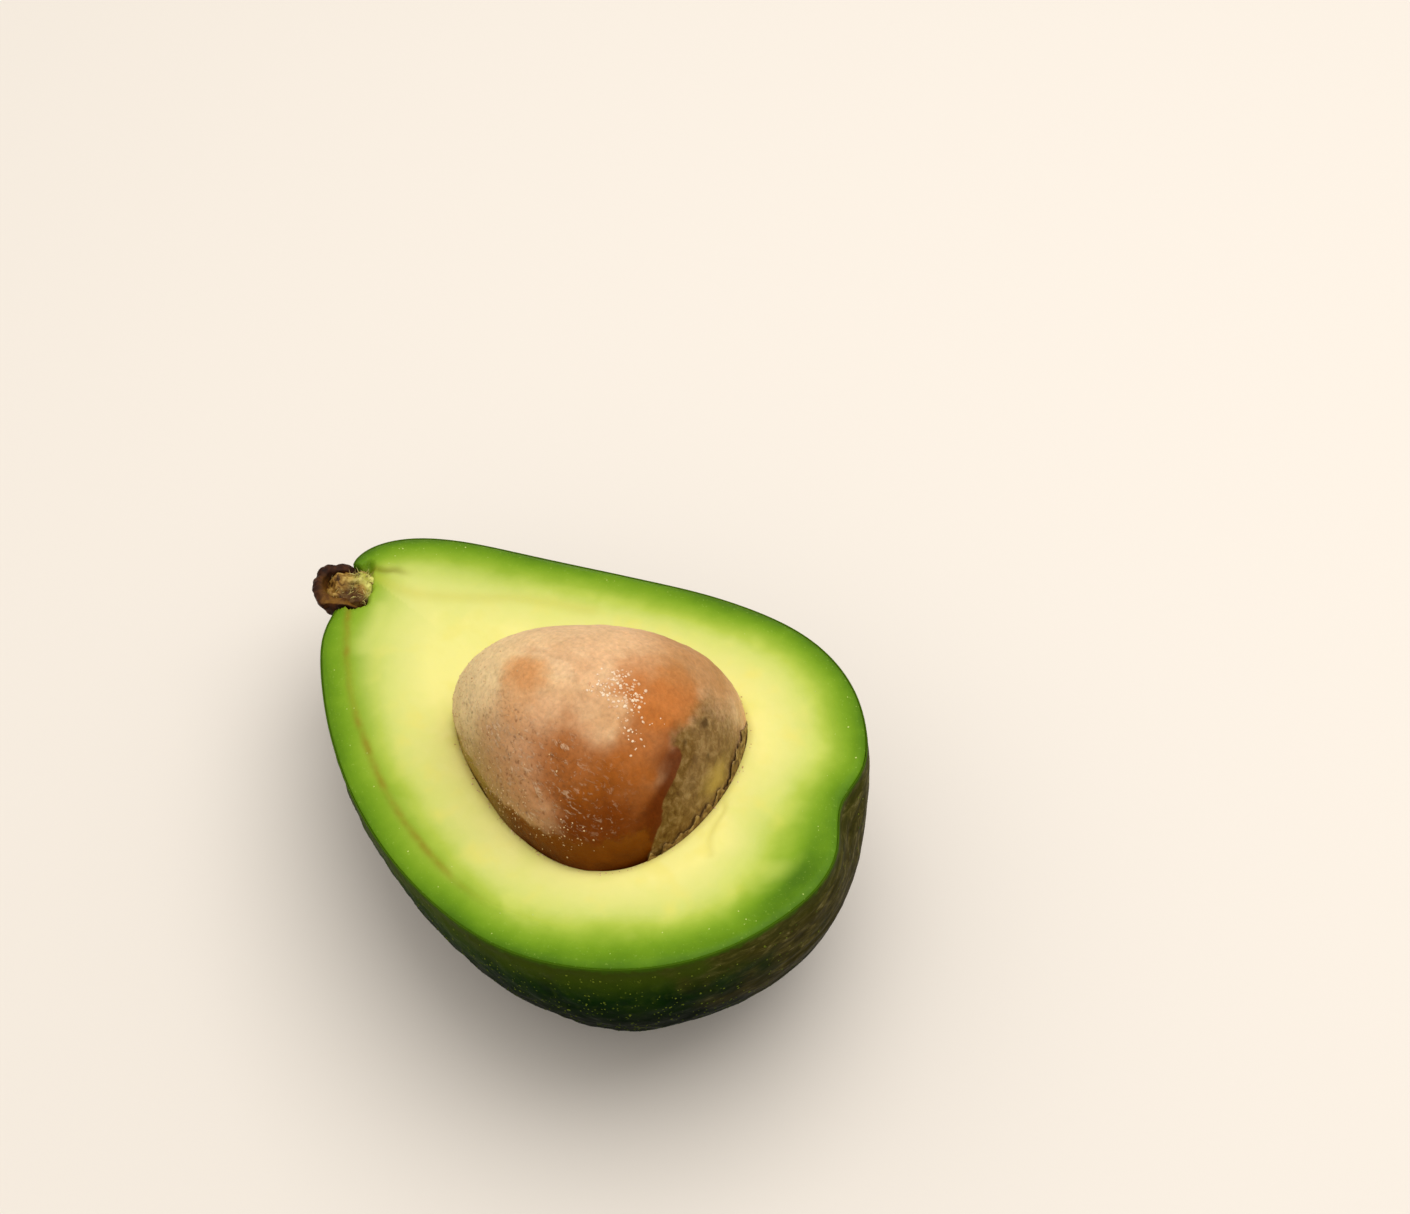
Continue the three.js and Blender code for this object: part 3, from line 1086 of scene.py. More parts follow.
def bark_ring(dip, lift, scale=(1, 1, 1), shift=0.0):
    unit = ball_ring(STEM_AROUND, dip)
    ring = squarish(unit) * BARK_HALF * scale
    along = unit[:, 0] / math.cos(dip)
    ring[:, 0] += BARK_MIDDLE + shift * MM
    ring[:, 2] += lift * MM * (0.25 + 0.75 * smooth_step(-0.2, 0.9, along))
    ring[:, 2] -= BARK_DIP * MM * smooth_step(0.05, -0.75, along)
    return ring


def cup_rings():
    outside = [bark_ring(dip, BARK_LIFT * math.cos(dip) ** 2) for dip in np.linspace(DEEPEST, 0, 34)]
    lip = []
    for share in np.linspace(0.12, 1, 9):
        lift = BARK_LIFT + LIP_CROWN * math.sin(math.pi * share)
        lip.append(bark_ring(0, lift, [1 - (1 - CUP_WIDTH) * share] * 3, CUP_SHIFT * share))
    inside = [bark_ring(dip, BARK_LIFT * math.cos(dip) ** 2, (CUP_WIDTH, CUP_WIDTH, CUP_DEPTH), CUP_SHIFT)
              for dip in np.linspace(0.08, DEEPEST, 14)]
    uncovered = np.repeat([0, 1], [len(outside) * STEM_AROUND, (len(lip) + len(inside)) * STEM_AROUND])
    return np.array(outside + lip + inside), uncovered


def build_bark():
    rings, uncovered = cup_rings()
    flat = roughened(rings.reshape(-1, 3), 141, 0.32 * MM, 0.1 * MM)
    spike = bell(np.hypot(*(flat[:, :2] - SPIKE_AT).T), 0, SPIKE_WIDTH)
    flat[:, 1] += SPIKE_LENGTH * spike * (flat[:, 2] > -0.6 * MM)
    flat[:, 0] = np.minimum(flat[:, 0], STEM_LENGTH)
    piece = mesh_from_rings("stem_bark", placed(from_stem(flat).reshape(rings.shape)))
    low_side = smooth_step(-2.6 * MM, 0.6 * MM, flat[:, 1])
    mark(piece, torn=uncovered * low_side * (1 - smooth_step(3.6 * MM, 5.4 * MM, flat[:, 0])))
    return piece


stem_bark = build_bark()

# %% [markdown]
# The wood was torn rather than cut. It is a squarish ball whose top is broken up by noise that is
# stretched along the stem, like fibres. At the flesh a fresh tongue stands up, and beside it there
# is a dark dent.

# %% Build the torn wood
WOOD_ROWS = 90
WOOD_HALF = np.array([4.5, 3.7, 2.1]) * MM
WOOD_MIDDLE = np.array([0.4, 0.1, -2.4]) * MM
TONGUE, TONGUE_HALF = np.array([-2.3, -1.0]) * MM, np.array([2.0, 1.2]) * MM
DENT, DENT_HALF = np.array([0.4, 1.2]) * MM, np.array([1.1, 1.3]) * MM


def hump(points, middle, half):
    """1 at a spot on the stub, fading away round it."""
    away = (points[:, :2] - middle) / half
    return np.exp(-(away**2).sum(axis=1))


def wood_marks(points, top, torn, tongue, dent):
    fresh = np.clip(1.4 * tongue + smooth_step(-1.8 * MM, -3.4 * MM, points[:, 0] + 0.8 * MM * torn), 0, 1)
    low = smooth_step(1.2 * MM, 2.8 * MM, points[:, 1] + 0.8 * MM * torn)
    shaded = np.clip(low * (1 - smooth_step(1.4 * MM, 3.0 * MM, points[:, 0])) + 1.3 * dent, 0, 1)
    return {"fresh": fresh, "shaded": shaded, "shreds": top * (0.2 + fresh + 0.5 * shaded)}


def build_wood():
    dips = np.linspace(-DEEPEST, DEEPEST, WOOD_ROWS)
    unit = np.concatenate([ball_ring(STEM_AROUND, dip) for dip in dips])
    points = squarish(unit) * WOOD_HALF + WOOD_MIDDLE
    fibres = layered_noise(points * [0.22, 1, 0.4], 0.75 * MM, 151, layers=3)
    torn = layered_noise(points, 2.0 * MM, 157, layers=3)
    top, outer = smooth_step(-0.1, 0.5, unit[:, 2]), smooth_step(0, 3.0 * MM, points[:, 0])
    tongue, dent = hump(points, TONGUE, TONGUE_HALF), hump(points, DENT, DENT_HALF)
    points[:, 2] += top * MM * (0.35 * fibres + 0.55 * torn + 0.4 + 0.25 * outer + 0.6 * tongue - dent)
    points[:, 2] -= 1.1 * MM * smooth_step(-1.6 * MM, -3.9 * MM, points[:, 0]) * (1 - tongue)
    points[:, 0] += 0.3 * MM * torn
    piece = mesh_from_rings("stem_wood", placed(from_stem(points).reshape(WOOD_ROWS, STEM_AROUND, 3)))
    mark(piece, **wood_marks(points, top, torn, tongue, dent))
    return piece


stem_wood = build_wood()

# %% [markdown]
# ## Scattered things
#
# Pale specks on the skin, wet beads on the seed, crumbs of its coat and shreds on the stem are all
# the same job: many copies of one tiny shape on a surface. Geometry Nodes do this well. Points are
# dealt out where a stored number allows, each gets a small shape of random size, and the copies are
# made real at the end, so that they are plain mesh.
#
# First come two helpers. One makes an empty tree with the inputs that every such job needs. The other
# adds a node, sets its properties, and then links or fills its inputs.

# %% Tree helpers
TREE_NUMBERS = ("Per Square Metre", "Smallest", "Largest", "Flatness", "Tilt")


def new_tree(name):
    tree = bpy.data.node_groups.new(name, "GeometryNodeTree")
    face = tree.interface
    face.new_socket("Surface", in_out="INPUT", socket_type="NodeSocketGeometry")
    for label in TREE_NUMBERS:
        face.new_socket(label, in_out="INPUT", socket_type="NodeSocketFloat")
    face.new_socket("Mask", in_out="INPUT", socket_type="NodeSocketString")
    face.new_socket("Seed", in_out="INPUT", socket_type="NodeSocketInt")
    face.new_socket("Finish", in_out="INPUT", socket_type="NodeSocketMaterial")
    face.new_socket("Pieces", in_out="OUTPUT", socket_type="NodeSocketGeometry")
    return tree


def tree_node(tree, kind, wires, **settings):
    """Add a node; `wires` says what goes into each input, a socket or a plain value."""
    node = tree.nodes.new(kind)
    for name, value in settings.items():
        setattr(node, name, value)
    for name, value in wires.items():
        if isinstance(value, bpy.types.NodeSocket):
            tree.links.new(value, node.inputs[name])
        else:
            node.inputs[name].default_value = value
    return node


print("numbers that each job sets:", ", ".join(TREE_NUMBERS))

# %% [markdown]
# A scatter tree has four parts: the points, the shape, a random size for each copy and a random turn.
# The random size has two steps, one number for the whole copy and a stretch that differs along each
# direction, so that no two crumbs look alike.

# %% The parts of a scatter tree
LEAST_STRETCH, MOST_STRETCH = (0.7, 0.7, 0.7), (1.35, 1.35, 1.0)


def dealt_points(tree, given):
    """Points on the surface, as dense as the stored number says."""
    mask = tree_node(tree, "GeometryNodeInputNamedAttribute", {"Name": given["Mask"]})
    share = mask.outputs["Attribute"]
    density = tree_node(tree, "ShaderNodeMath", {
        0: given["Per Square Metre"], 1: share}, operation="MULTIPLY")
    return tree_node(tree, "GeometryNodeDistributePointsOnFaces", {
        "Mesh": given["Surface"], "Density": density.outputs[0], "Seed": given["Seed"]})


def small_shape(tree, given, kind, sizes):
    """The shape to copy, squashed to its flatness."""
    shape = tree_node(tree, kind, sizes)
    squash = tree_node(tree, "ShaderNodeCombineXYZ", {"X": 1, "Y": 1, "Z": given["Flatness"]})
    return tree_node(tree, "GeometryNodeTransform", {
        "Geometry": shape.outputs["Mesh"], "Scale": squash.outputs["Vector"]})


def random_scale(tree, given):
    size = tree_node(tree, "FunctionNodeRandomValue", {
        2: given["Smallest"], 3: given["Largest"], "Seed": given["Seed"]})
    stretch = tree_node(tree, "FunctionNodeRandomValue", {
        0: LEAST_STRETCH, 1: MOST_STRETCH, "Seed": given["Seed"]}, data_type="FLOAT_VECTOR")
    scale = tree_node(tree, "ShaderNodeVectorMath", {
        0: stretch.outputs[0], "Scale": size.outputs[1]}, operation="SCALE")
    return scale.outputs[0]


def random_turn(tree, given, upright):
    """The surface's own direction, tilted by up to the given angle either way."""
    least = tree_node(tree, "ShaderNodeMath", {0: given["Tilt"], 1: -1}, operation="MULTIPLY")
    tilt = tree_node(tree, "FunctionNodeRandomValue", {
        0: least.outputs[0], 1: given["Tilt"], "Seed": given["Seed"]}, data_type="FLOAT_VECTOR")
    turned = tree_node(tree, "FunctionNodeRotateRotation", {
        "Rotation": upright, "Rotate By": tilt.outputs[0]}, rotation_space="LOCAL")
    return turned.outputs["Rotation"]


print("copies are stretched by", LEAST_STRETCH, "to", MOST_STRETCH)

# %% Three scatter trees
STRAND_SIZES = {"Vertices": 5, "Side Segments": 3, "Radius Top": 0.02, "Radius Bottom": 0.1, "Depth": 2.0}


def scatter_tree(name, kind, sizes):
    tree = new_tree(name)
    given = tree.nodes.new("NodeGroupInput").outputs
    deal = dealt_points(tree, given)
    shape = small_shape(tree, given, kind, sizes)
    turn = random_turn(tree, given, deal.outputs["Rotation"])
    copy = tree_node(tree, "GeometryNodeInstanceOnPoints", {
        "Points": deal.outputs["Points"], "Instance": shape.outputs["Geometry"],
        "Rotation": turn, "Scale": random_scale(tree, given)})
    real = tree_node(tree, "GeometryNodeRealizeInstances", {"Geometry": copy.outputs["Instances"]})
    soft = tree_node(tree, "GeometryNodeSetShadeSmooth", {"Geometry": real.outputs["Geometry"]})
    dress = tree_node(tree, "GeometryNodeSetMaterial", {
        "Geometry": soft.outputs["Geometry"], "Material": given["Finish"]})
    tree_node(tree, "NodeGroupOutput", {"Pieces": dress.outputs["Geometry"]})
    print(name, "has", len(tree.nodes), "nodes")
    return tree


ROUND_BEAD = scatter_tree("round_bead", "GeometryNodeMeshIcoSphere", {"Radius": 1.0, "Subdivisions": 2})
CHIP = scatter_tree("chip", "GeometryNodeMeshIcoSphere", {"Radius": 1.0, "Subdivisions": 1})
STRAND = scatter_tree("strand", "GeometryNodeMeshCone", STRAND_SIZES)

# %% [markdown]
# A tree works inside a modifier. Each job puts one on a spare copy of the piece, fills in the inputs,
# keeps the result as a mesh of its own and throws the spare copy away. Points carry the piece's stored
# numbers along, and the copies don't need them, so those are dropped.
#
# Every piece, scattered or not, is then hung on the root, and the part of the frame that it replaces is
# hidden. Nothing here moves by itself, so all of it rides with the root.

# %% Scatter and settle
def scatter(name, tree, surface, finish, **settings):
    """Scatter a shape over a piece and return the copies as one plain piece."""
    host = bpy.data.objects.new(name + "_host", surface.data)
    bpy.context.scene.collection.objects.link(host)
    modifier = host.modifiers.new("scatter", "NODES")
    modifier.node_group = tree
    settings["finish"] = finish
    for item in tree.interface.items_tree:
        label = item.name.replace(" ", "_").lower()
        if label in settings:
            modifier[item.identifier] = settings[label]
    made = host.evaluated_get(bpy.context.evaluated_depsgraph_get())
    mesh = bpy.data.meshes.new_from_object(made)
    bpy.data.objects.remove(host)
    mesh.name = name
    numbers = [layer.name for layer in mesh.attributes if layer.data_type == "FLOAT"]
    for old in numbers:
        if old in surface.data.attributes:
            mesh.attributes.remove(mesh.attributes[old])
    piece = bpy.data.objects.new(name, mesh)
    bpy.context.scene.collection.objects.link(piece)
    print(name, len(mesh.polygons), "faces")
    return piece


def settle(piece, node):
    """The piece rides with the root, and the frame's part that it replaces is hidden."""
    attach(piece, "root")
    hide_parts(node)


# %% [markdown]
# ## Material helpers
#
# All finishes are built from nodes. A few short helpers keep the node trees readable: they read a
# number stored on the points, do sums, make noise that is fixed to the object so that a pattern never
# slides, make a colour ramp, and lay one colour over another.

# %% Node helpers
class Finish:
    """A material with a Principled shader and short ways to add nodes to it."""

    def __init__(self, name, **constants):
        self.material = bpy.data.materials.new(name)
        self.material.use_nodes = True
        self.tree = self.material.node_tree
        self.shader = self.tree.nodes["Principled BSDF"]
        self.spot = self.node("ShaderNodeTexCoord").outputs["Object"]
        self.set(**constants)

    def node(self, kind, **inputs):
        node = self.tree.nodes.new(kind)
        for name, value in inputs.items():
            self.feed(node.inputs[name.replace("_", " ")], value)
        return node

    def feed(self, socket, value):
        if isinstance(value, bpy.types.NodeSocket):
            self.tree.links.new(value, socket)
        else:
            socket.default_value = value

    def set(self, **inputs):
        for name, value in inputs.items():
            self.feed(self.shader.inputs[name.replace("_", " ")], value)

    def guide(self, name, output="Fac"):
        """A number or colour stored on the piece's points."""
        node = self.tree.nodes.new("ShaderNodeAttribute")
        node.attribute_name = name
        return node.outputs[output]

    def math(self, operation, a, b=0.0, clamp=False):
        node = self.tree.nodes.new("ShaderNodeMath")
        node.operation = operation
        node.use_clamp = clamp
        self.feed(node.inputs[0], a)
        self.feed(node.inputs[1], b)
        return node.outputs[0]

    def times(self, a, b):
        return self.math("MULTIPLY", a, b)

    def plus(self, a, b):
        return self.math("ADD", a, b)

    def noise(self, size, detail=3.0, rough=0.55, warp=0.0, stretch=(1, 1, 1)):
        """Noise from 0 to 1 with hills `size` metres across."""
        mapping = self.node("ShaderNodeMapping", Vector=self.spot, Scale=stretch)
        return self.node(
            "ShaderNodeTexNoise", Vector=mapping.outputs[0], Scale=1 / size, Detail=detail,
            Roughness=rough, Distortion=warp,
        ).outputs["Fac"]

    def centred(self, size, detail=3.0, warp=0.0):
        """Noise from -0.5 to 0.5."""
        return self.math("SUBTRACT", self.noise(size, detail, warp=warp), 0.5)

    def ramp(self, value, stops):
        """Colours along a value; a stop is (place, colour)."""
        node = self.node("ShaderNodeValToRGB", Fac=value)
        elements = node.color_ramp.elements
        while len(elements) < len(stops):
            elements.new(0.5)
        for element, (spot, colour) in zip(elements, stops):
            element.position = spot
            element.color = to_linear(*colour)
        return node.outputs["Color"]

    def step(self, value, low, high):
        """0 below `low`, 1 above `high`; the other way round if `low` is the higher one."""
        node = self.node("ShaderNodeMapRange", Value=value)
        node.interpolation_type = "SMOOTHSTEP"
        node.inputs["From Min"].default_value = low
        node.inputs["From Max"].default_value = high
        return node.outputs["Result"]

    def over(self, below, share, colour):
        """Lay a colour over another by a share from 0 to 1."""
        node = self.tree.nodes.new("ShaderNodeMix")
        node.data_type = "RGBA"
        self.feed(node.inputs[0], share)
        self.feed(node.inputs[6], below)
        self.feed(node.inputs[7], to_linear(*colour) if isinstance(colour, tuple) else colour)
        return node.outputs[2]

    def brighten(self, colour, share):
        """A colour made brighter (above 1) or darker (below 1)."""
        node = self.tree.nodes.new("ShaderNodeVectorMath")
        node.operation = "SCALE"
        self.feed(node.inputs[0], colour)
        self.feed(node.inputs["Scale"], share)
        return node.outputs[0]

    def bump(self, height, strength, distance, below=None):
        """Small relief in the shading only, laid over the relief `below` it."""
        node = self.node("ShaderNodeBump", Height=height, Strength=strength, Distance=distance)
        if below is not None:
            self.tree.links.new(below, node.inputs["Normal"])
        return node.outputs["Normal"]


print("a colour for a node:", [round(v, 3) for v in to_linear(112, 150, 18)])

# %% [markdown]
# ## Flesh finish
#
# The colour is a ramp along the distance from the skin: bright green, yellow-green, then butter
# yellow. Noise bends that distance a little, because the green fades unevenly. The stored marks bend
# it too: the green band is shifted where it is broader or narrower on the real fruit.

# %% How deep into the flesh
FLESH_FADE = 16.0
FLESH_RAMP = [
    (0.0, (74, 112, 2)),
    (0.05, (90, 130, 6)),
    (0.125, (112, 150, 18)),
    (0.19, (130, 164, 32)),
    (0.28, (152, 179, 50)),
    (0.375, (178, 196, 72)),
    (0.5, (206, 213, 110)),
    (0.625, (221, 221, 126)),
    (0.75, (230, 226, 134)),
    (0.95, (243, 234, 142)),
]


def flesh_depth(f, from_rim):
    """Millimetres from the skin, bent by noise and by the marks."""
    bent = f.plus(from_rim, f.times(f.centred(12 * MM, 2.0), 3.0))
    bent = f.plus(bent, f.times(f.centred(2.0 * MM, 3.0, 0.3), 0.9))
    outer_shift = f.times(f.guide("outer_band"), f.plus(0.9, f.times(from_rim, -0.3)))
    inner_shift = f.times(f.times(f.guide("inner_band"), f.step(from_rim, 3.0, 6.0)), -1.2)
    middle_depths = f.times(f.step(from_rim, 0.0, 4.0), f.step(from_rim, 20.0, 12.0))
    broad_shift = f.times(f.times(f.guide("broad"), middle_depths), -3.3)
    neck_shift = f.times(f.times(f.guide("neck"), f.step(from_rim, 4.0, 8.0)), -1.2)
    return f.plus(bent, f.plus(f.plus(outer_shift, inner_shift), f.plus(broad_shift, neck_shift)))


print("the flesh fades from green to butter yellow over", FLESH_FADE, "mm")

# %% [markdown]
# Over the ramp go cloudy and warmer patches, the veins, fine pores beside the rim, the yellow stain round
# the seed, the hollow and the dark pocket of the stem, which is brown tissue with painted shade that deepens
# as the pocket does. Light sinks a little into the flesh, which softens every edge, and the fresh cut is
# moist.

# %% Flesh material
def flesh_colour(f):
    from_rim = f.guide("from_rim")
    colour = f.ramp(f.math("DIVIDE", flesh_depth(f, from_rim), FLESH_FADE, clamp=True), FLESH_RAMP)
    cloudy = f.times(f.step(f.noise(8 * MM, 2.0, warp=0.4), 0.45, 0.75), f.step(from_rim, 3.0, 7.0))
    warm = f.times(f.step(f.noise(6 * MM, 2.0), 0.5, 0.75), f.step(from_rim, 6.0, 10.0))
    pale_neck = f.times(f.guide("neck"), f.step(from_rim, 4.0, 8.0))
    patchy = f.plus(0.35, f.times(f.step(f.noise(5 * MM, 2.0), 0.4, 0.65), 0.5))
    pores = f.times(f.step(f.noise(0.45 * MM, 2.0), 0.62, 0.75), f.step(from_rim, 6.0, 2.0))
    stained = f.step(f.guide("from_seed"), 1.3, 0.0)
    layers = [
        (f.times(cloudy, 0.35), (218, 222, 112)),
        (f.times(warm, 0.35), (236, 220, 100)),
        (f.times(pale_neck, 0.45), (216, 218, 126)),
        (f.times(f.guide("lean_vein"), patchy), (140, 126, 22)),
        (f.times(f.guide("full_vein"), 0.3), (200, 190, 70)),
        (f.times(f.guide("neck_vein"), 0.6), (122, 112, 14)),
        (f.times(f.guide("nick"), 0.3), (206, 196, 90)),
        (f.times(pores, 0.3), (168, 196, 84)),
        (f.times(stained, 0.4), (196, 172, 78)),
        (f.guide("in_hollow"), (208, 174, 84)),
        # painted shade with brown tissue: the stem's pocket darkens as it deepens
        (f.times(f.guide("pocket"), 0.9), (60, 42, 8)),
    ]
    for share, tint in layers:
        colour = f.over(colour, share, tint)
    return colour


def flesh_finish():
    f = Finish("flesh", IOR=1.4, Subsurface_Weight=0.2, Subsurface_Radius=(1.0, 0.9, 0.35),
               Subsurface_Scale=1.8 * MM, Specular_IOR_Level=0.18)
    normal = f.bump(f.noise(0.5 * MM, 3.0), 0.2, 0.1 * MM)
    normal = f.bump(f.noise(3.5 * MM, 2.0), 0.3, 0.4 * MM, normal)
    rough = f.plus(0.36, f.times(f.noise(1.4 * MM, 3.0), 0.22))
    f.set(Base_Color=flesh_colour(f), Normal=normal, Roughness=rough)
    return f.material


flesh.data.materials.append(flesh_finish())
settle(flesh, "fruit_half")
print("flesh finished with", len(flesh.data.materials[0].node_tree.nodes), "nodes")

# %% [markdown]
# ## Skin finish
#
# The skin is a very dark green, and darker still low down, where that darkening is painted shade. It is
# browner and greyer where the broad end is creased, with dry strokes that run beside the rim, whose palest
# tones are a painted sheen; it is lighter right at the cut. The surface is waxy and broken up by fine
# pebbles.

# %% Skin material
DARK_GREENS = [(0.3, (3, 20, 2)), (0.5, (12, 38, 3)), (0.68, (34, 54, 6))]
# dry browns of the creased broad end; the palest stops are a painted sheen
DRY_BROWNS_AND_SHEEN = [(0.32, (40, 34, 8)), (0.5, (62, 54, 18)), (0.6, (88, 79, 38)), (0.74, (136, 126, 84))]
STROKE_STRETCH = 0.36
DIMPLE_SIZE = 1.3 * MM


def dry_strokes(f):
    """Noise stretched along the rim."""
    place = f.node("ShaderNodeCombineXYZ", X=f.times(f.guide("around"), STROKE_STRETCH), Y=f.guide("depth"))
    noise = f.node("ShaderNodeTexNoise", Vector=place.outputs[0], Scale=0.8, Detail=6.0, Roughness=0.7,
                   Distortion=0.8)
    return noise.outputs["Fac"]


def skin_colour(f):
    depth = f.guide("depth")
    green = f.ramp(f.noise(8 * MM, 4.0, warp=0.6), DARK_GREENS)
    green = f.over(green, f.times(f.step(f.noise(1.4 * MM, 4.0), 0.5, 0.75), 0.45), (56, 72, 12))
    # painted shade: the skin turns near black low down, where it curves under towards the floor
    green = f.over(green, f.times(f.step(depth, 5.0, 15.0), 0.95), (1, 10, 0))
    green = f.over(green, f.times(f.step(depth, 7.0, 1.5), 0.6), (68, 84, 10))
    # the creased broad end: dry browns, with a painted sheen in their palest streaks
    dry = f.times(f.step(f.guide("creased"), 0.15, 0.8), f.step(depth, 26.0, 6.0))
    colour = f.over(green, f.times(dry, 0.85), f.ramp(dry_strokes(f), DRY_BROWNS_AND_SHEEN))
    ragged = f.plus(depth, f.times(f.centred(1.3 * MM, 4.0), 2.2))
    colour = f.over(colour, f.times(f.step(ragged, 4.5, 0.2), 0.4), (56, 62, 14))
    colour = f.over(colour, f.times(f.step(ragged, 0.9, 0.1), 0.8), (58, 88, 10))
    return f.over(colour, f.step(f.guide("outer"), 0.9, 0.3), (70, 98, 16))


def skin_finish():
    f = Finish("skin", Specular_IOR_Level=0.01)
    dimples = f.node("ShaderNodeTexVoronoi", Vector=f.spot, Scale=1 / DIMPLE_SIZE).outputs["Distance"]
    normal = f.bump(dimples, 0.4, 0.18 * MM)
    normal = f.bump(f.noise(0.5 * MM, 2.0), 0.25, 0.05 * MM, normal)
    rough = f.plus(0.34, f.times(f.noise(2.5 * MM, 3.0), 0.3))
    f.set(Base_Color=skin_colour(f), Normal=normal, Roughness=rough)
    return f.material


skin.data.materials.append(skin_finish())
settle(skin, "fruit_half")
print("skin finished with", len(skin.data.materials[0].node_tree.nodes), "nodes")

# %% [markdown]
# The specks are the corky pores of the real skin. They stand up a little and catch the light, so
# they are small flat chips rather than a pattern in the colour.

# %% Specks on the skin
def plain_finish(name, stops, size, detail=3.0, warp=0.0, **constants):
    """The finish of a small thing: a few tones along a noise."""
    f = Finish(name, **constants)
    f.set(Base_Color=f.ramp(f.noise(size, detail, warp=warp), stops))
    return f.material


speck_finish = plain_finish("skin_specks", [(0.35, (48, 68, 10)), (0.65, (110, 122, 36))], 1.5 * MM, 2.0,
                            Specular_IOR_Level=0.01, Roughness=0.4)
skin_specks = scatter("skin_specks", CHIP, skin, speck_finish, mask="specked", per_square_metre=5.5e5,
                      smallest=0.07 * MM, largest=0.22 * MM, flatness=0.3, tilt=0.0, seed=3)
settle(skin_specks, "fruit_half")

# %% [markdown]
# ## Seed finish
#
# The painted colours are the base. Grain and blotches brighten and darken them, and where the coat is
# rough there are pale flakes and dark pits. Over them lie the bare amber stretch and the grey film,
# whose edges the shader sharpens, then one small stain beside the film and a few dark nicks. The
# shine is soft, and a little stronger where the seed is bare.

# %% Colours of the seed
# ambers along the seed's height; the deep low stops are partly painted shade
AMBERS = [(0.0, (90, 40, 0)), (0.14, (116, 58, 2)), (0.3, (132, 72, 12)), (0.45, (150, 92, 34))]
FILM_GREYS = [(0.32, (86, 58, 16)), (0.5, (120, 90, 40)), (0.68, (152, 122, 72))]
BLOTCHES = 3.2 * MM


def coat_colour(f, grain, blotches, flakes):
    """The painted coat with grain, pale flakes and dark pits."""
    light = f.plus(0.55, f.plus(f.times(grain, 0.62), f.times(blotches, 0.36)))
    colour = f.brighten(f.guide("paint", "Color"), light)
    colour = f.over(colour, f.times(flakes, 0.6), (224, 188, 150))
    pits = f.times(f.step(grain, 0.44, 0.3), f.guide("rough"))
    return f.over(colour, f.times(pits, 0.55), (124, 72, 34))


def amber_colour(f):
    """The bare seed: darker low down, partly painted shade, and paler on its left, partly painted light."""
    lift = f.times(f.centred(3 * MM, 3.0, 0.6), 0.3)
    # painted shade in part: the amber is ramped darker low down and paler high up, as light falls from above
    amber = f.ramp(f.plus(f.guide("height"), lift), AMBERS)
    # painted light in part: a paler olive on the seed's left, lifting the shade by the hollow's lip
    return f.over(amber, f.times(f.guide("left"), 0.85), (162, 130, 52))


print("tones of amber:", len(AMBERS), "and of film:", len(FILM_GREYS))

# %% Seed material
def seed_finish():
    f = Finish("seed", Subsurface_Weight=0.1, Subsurface_Radius=(1.0, 0.5, 0.25),
               Subsurface_Scale=1.0 * MM, Specular_IOR_Level=0.07)
    grain = f.noise(0.7 * MM, 4.0, warp=0.3)
    blotches = f.noise(BLOTCHES, 5.0, rough=0.6, warp=0.8)
    torn_noise = f.noise(0.9 * MM, 5.0, rough=0.7, warp=0.6, stretch=(0.6, 1, 1.4))
    flakes = f.times(f.step(torn_noise, 0.54, 0.64), f.guide("rough"))
    wander = f.times(f.centred(0.5 * MM), 0.6)
    bare = f.step(f.plus(f.guide("bare"), wander), 0.2, 0.8)
    film = f.step(f.plus(f.guide("grey"), f.times(wander, 0.7)), 0.1, 0.9)
    colour = f.over(coat_colour(f, grain, blotches, flakes), bare, amber_colour(f))
    grey = f.ramp(f.noise(1.3 * MM, 5.0, rough=0.65, warp=0.4), FILM_GREYS)
    colour = f.over(colour, f.times(film, 0.9), grey)
    colour = f.over(colour, f.times(f.guide("stained"), 0.6), (204, 170, 82))
    colour = f.over(colour, f.times(f.guide("nicked"), 0.7), (62, 40, 14))
    normal = f.bump(grain, 0.7, 0.16 * MM)
    normal = f.bump(f.plus(blotches, flakes), 0.5, 0.3 * MM, normal)
    normal = f.bump(f.math("SUBTRACT", 1.0, bare), 0.6, 0.12 * MM, normal)
    rough = f.plus(0.4, f.times(f.noise(1.0 * MM, 3.0), 0.3))
    f.set(Base_Color=colour, Normal=normal, Roughness=f.math("SUBTRACT", rough, f.times(bare, 0.2)))
    return f.material


FILM_TONES = [(0.35, (84, 54, 18)), (0.52, (136, 102, 48)), (0.7, (188, 158, 96))]
seed.data.materials.append(seed_finish())
settle(seed, "seed")
seed_film.data.materials.append(
    plain_finish("seed_film", FILM_TONES, 1.1 * MM, 4.0, warp=0.5, Roughness=0.6, Specular_IOR_Level=0.3))
settle(seed_film, "seed")
print("seed finished with", len(seed.data.materials[0].node_tree.nodes), "nodes")

# %% [markdown]
# ## Wet beads and crumbs
#
# Rocking the seed leaves crumbs of its coat along the tear and on the lip of the hollow. Moisture stands in
# tiny beads on the top of the seed and just inside the rim. Wet things get a very low roughness, so that
# each bead carries its own highlight, and dry crumbs stay dull. The beads are also given pale colours, a
# painted glint on top of those highlights.

# %% Wet beads and crumbs
# pale tones for the beads, partly a painted glint
BEAD_TONES_WITH_GLINT = [(0.35, (214, 160, 112)), (0.65, (246, 222, 190))]
CRUMB_TONES = [(0.35, (192, 146, 92)), (0.65, (234, 204, 156))]
JUICE_TONES_WITH_GLINT = [(0.35, (176, 200, 90)), (0.65, (214, 224, 130))]
WATER_IOR = 1.34

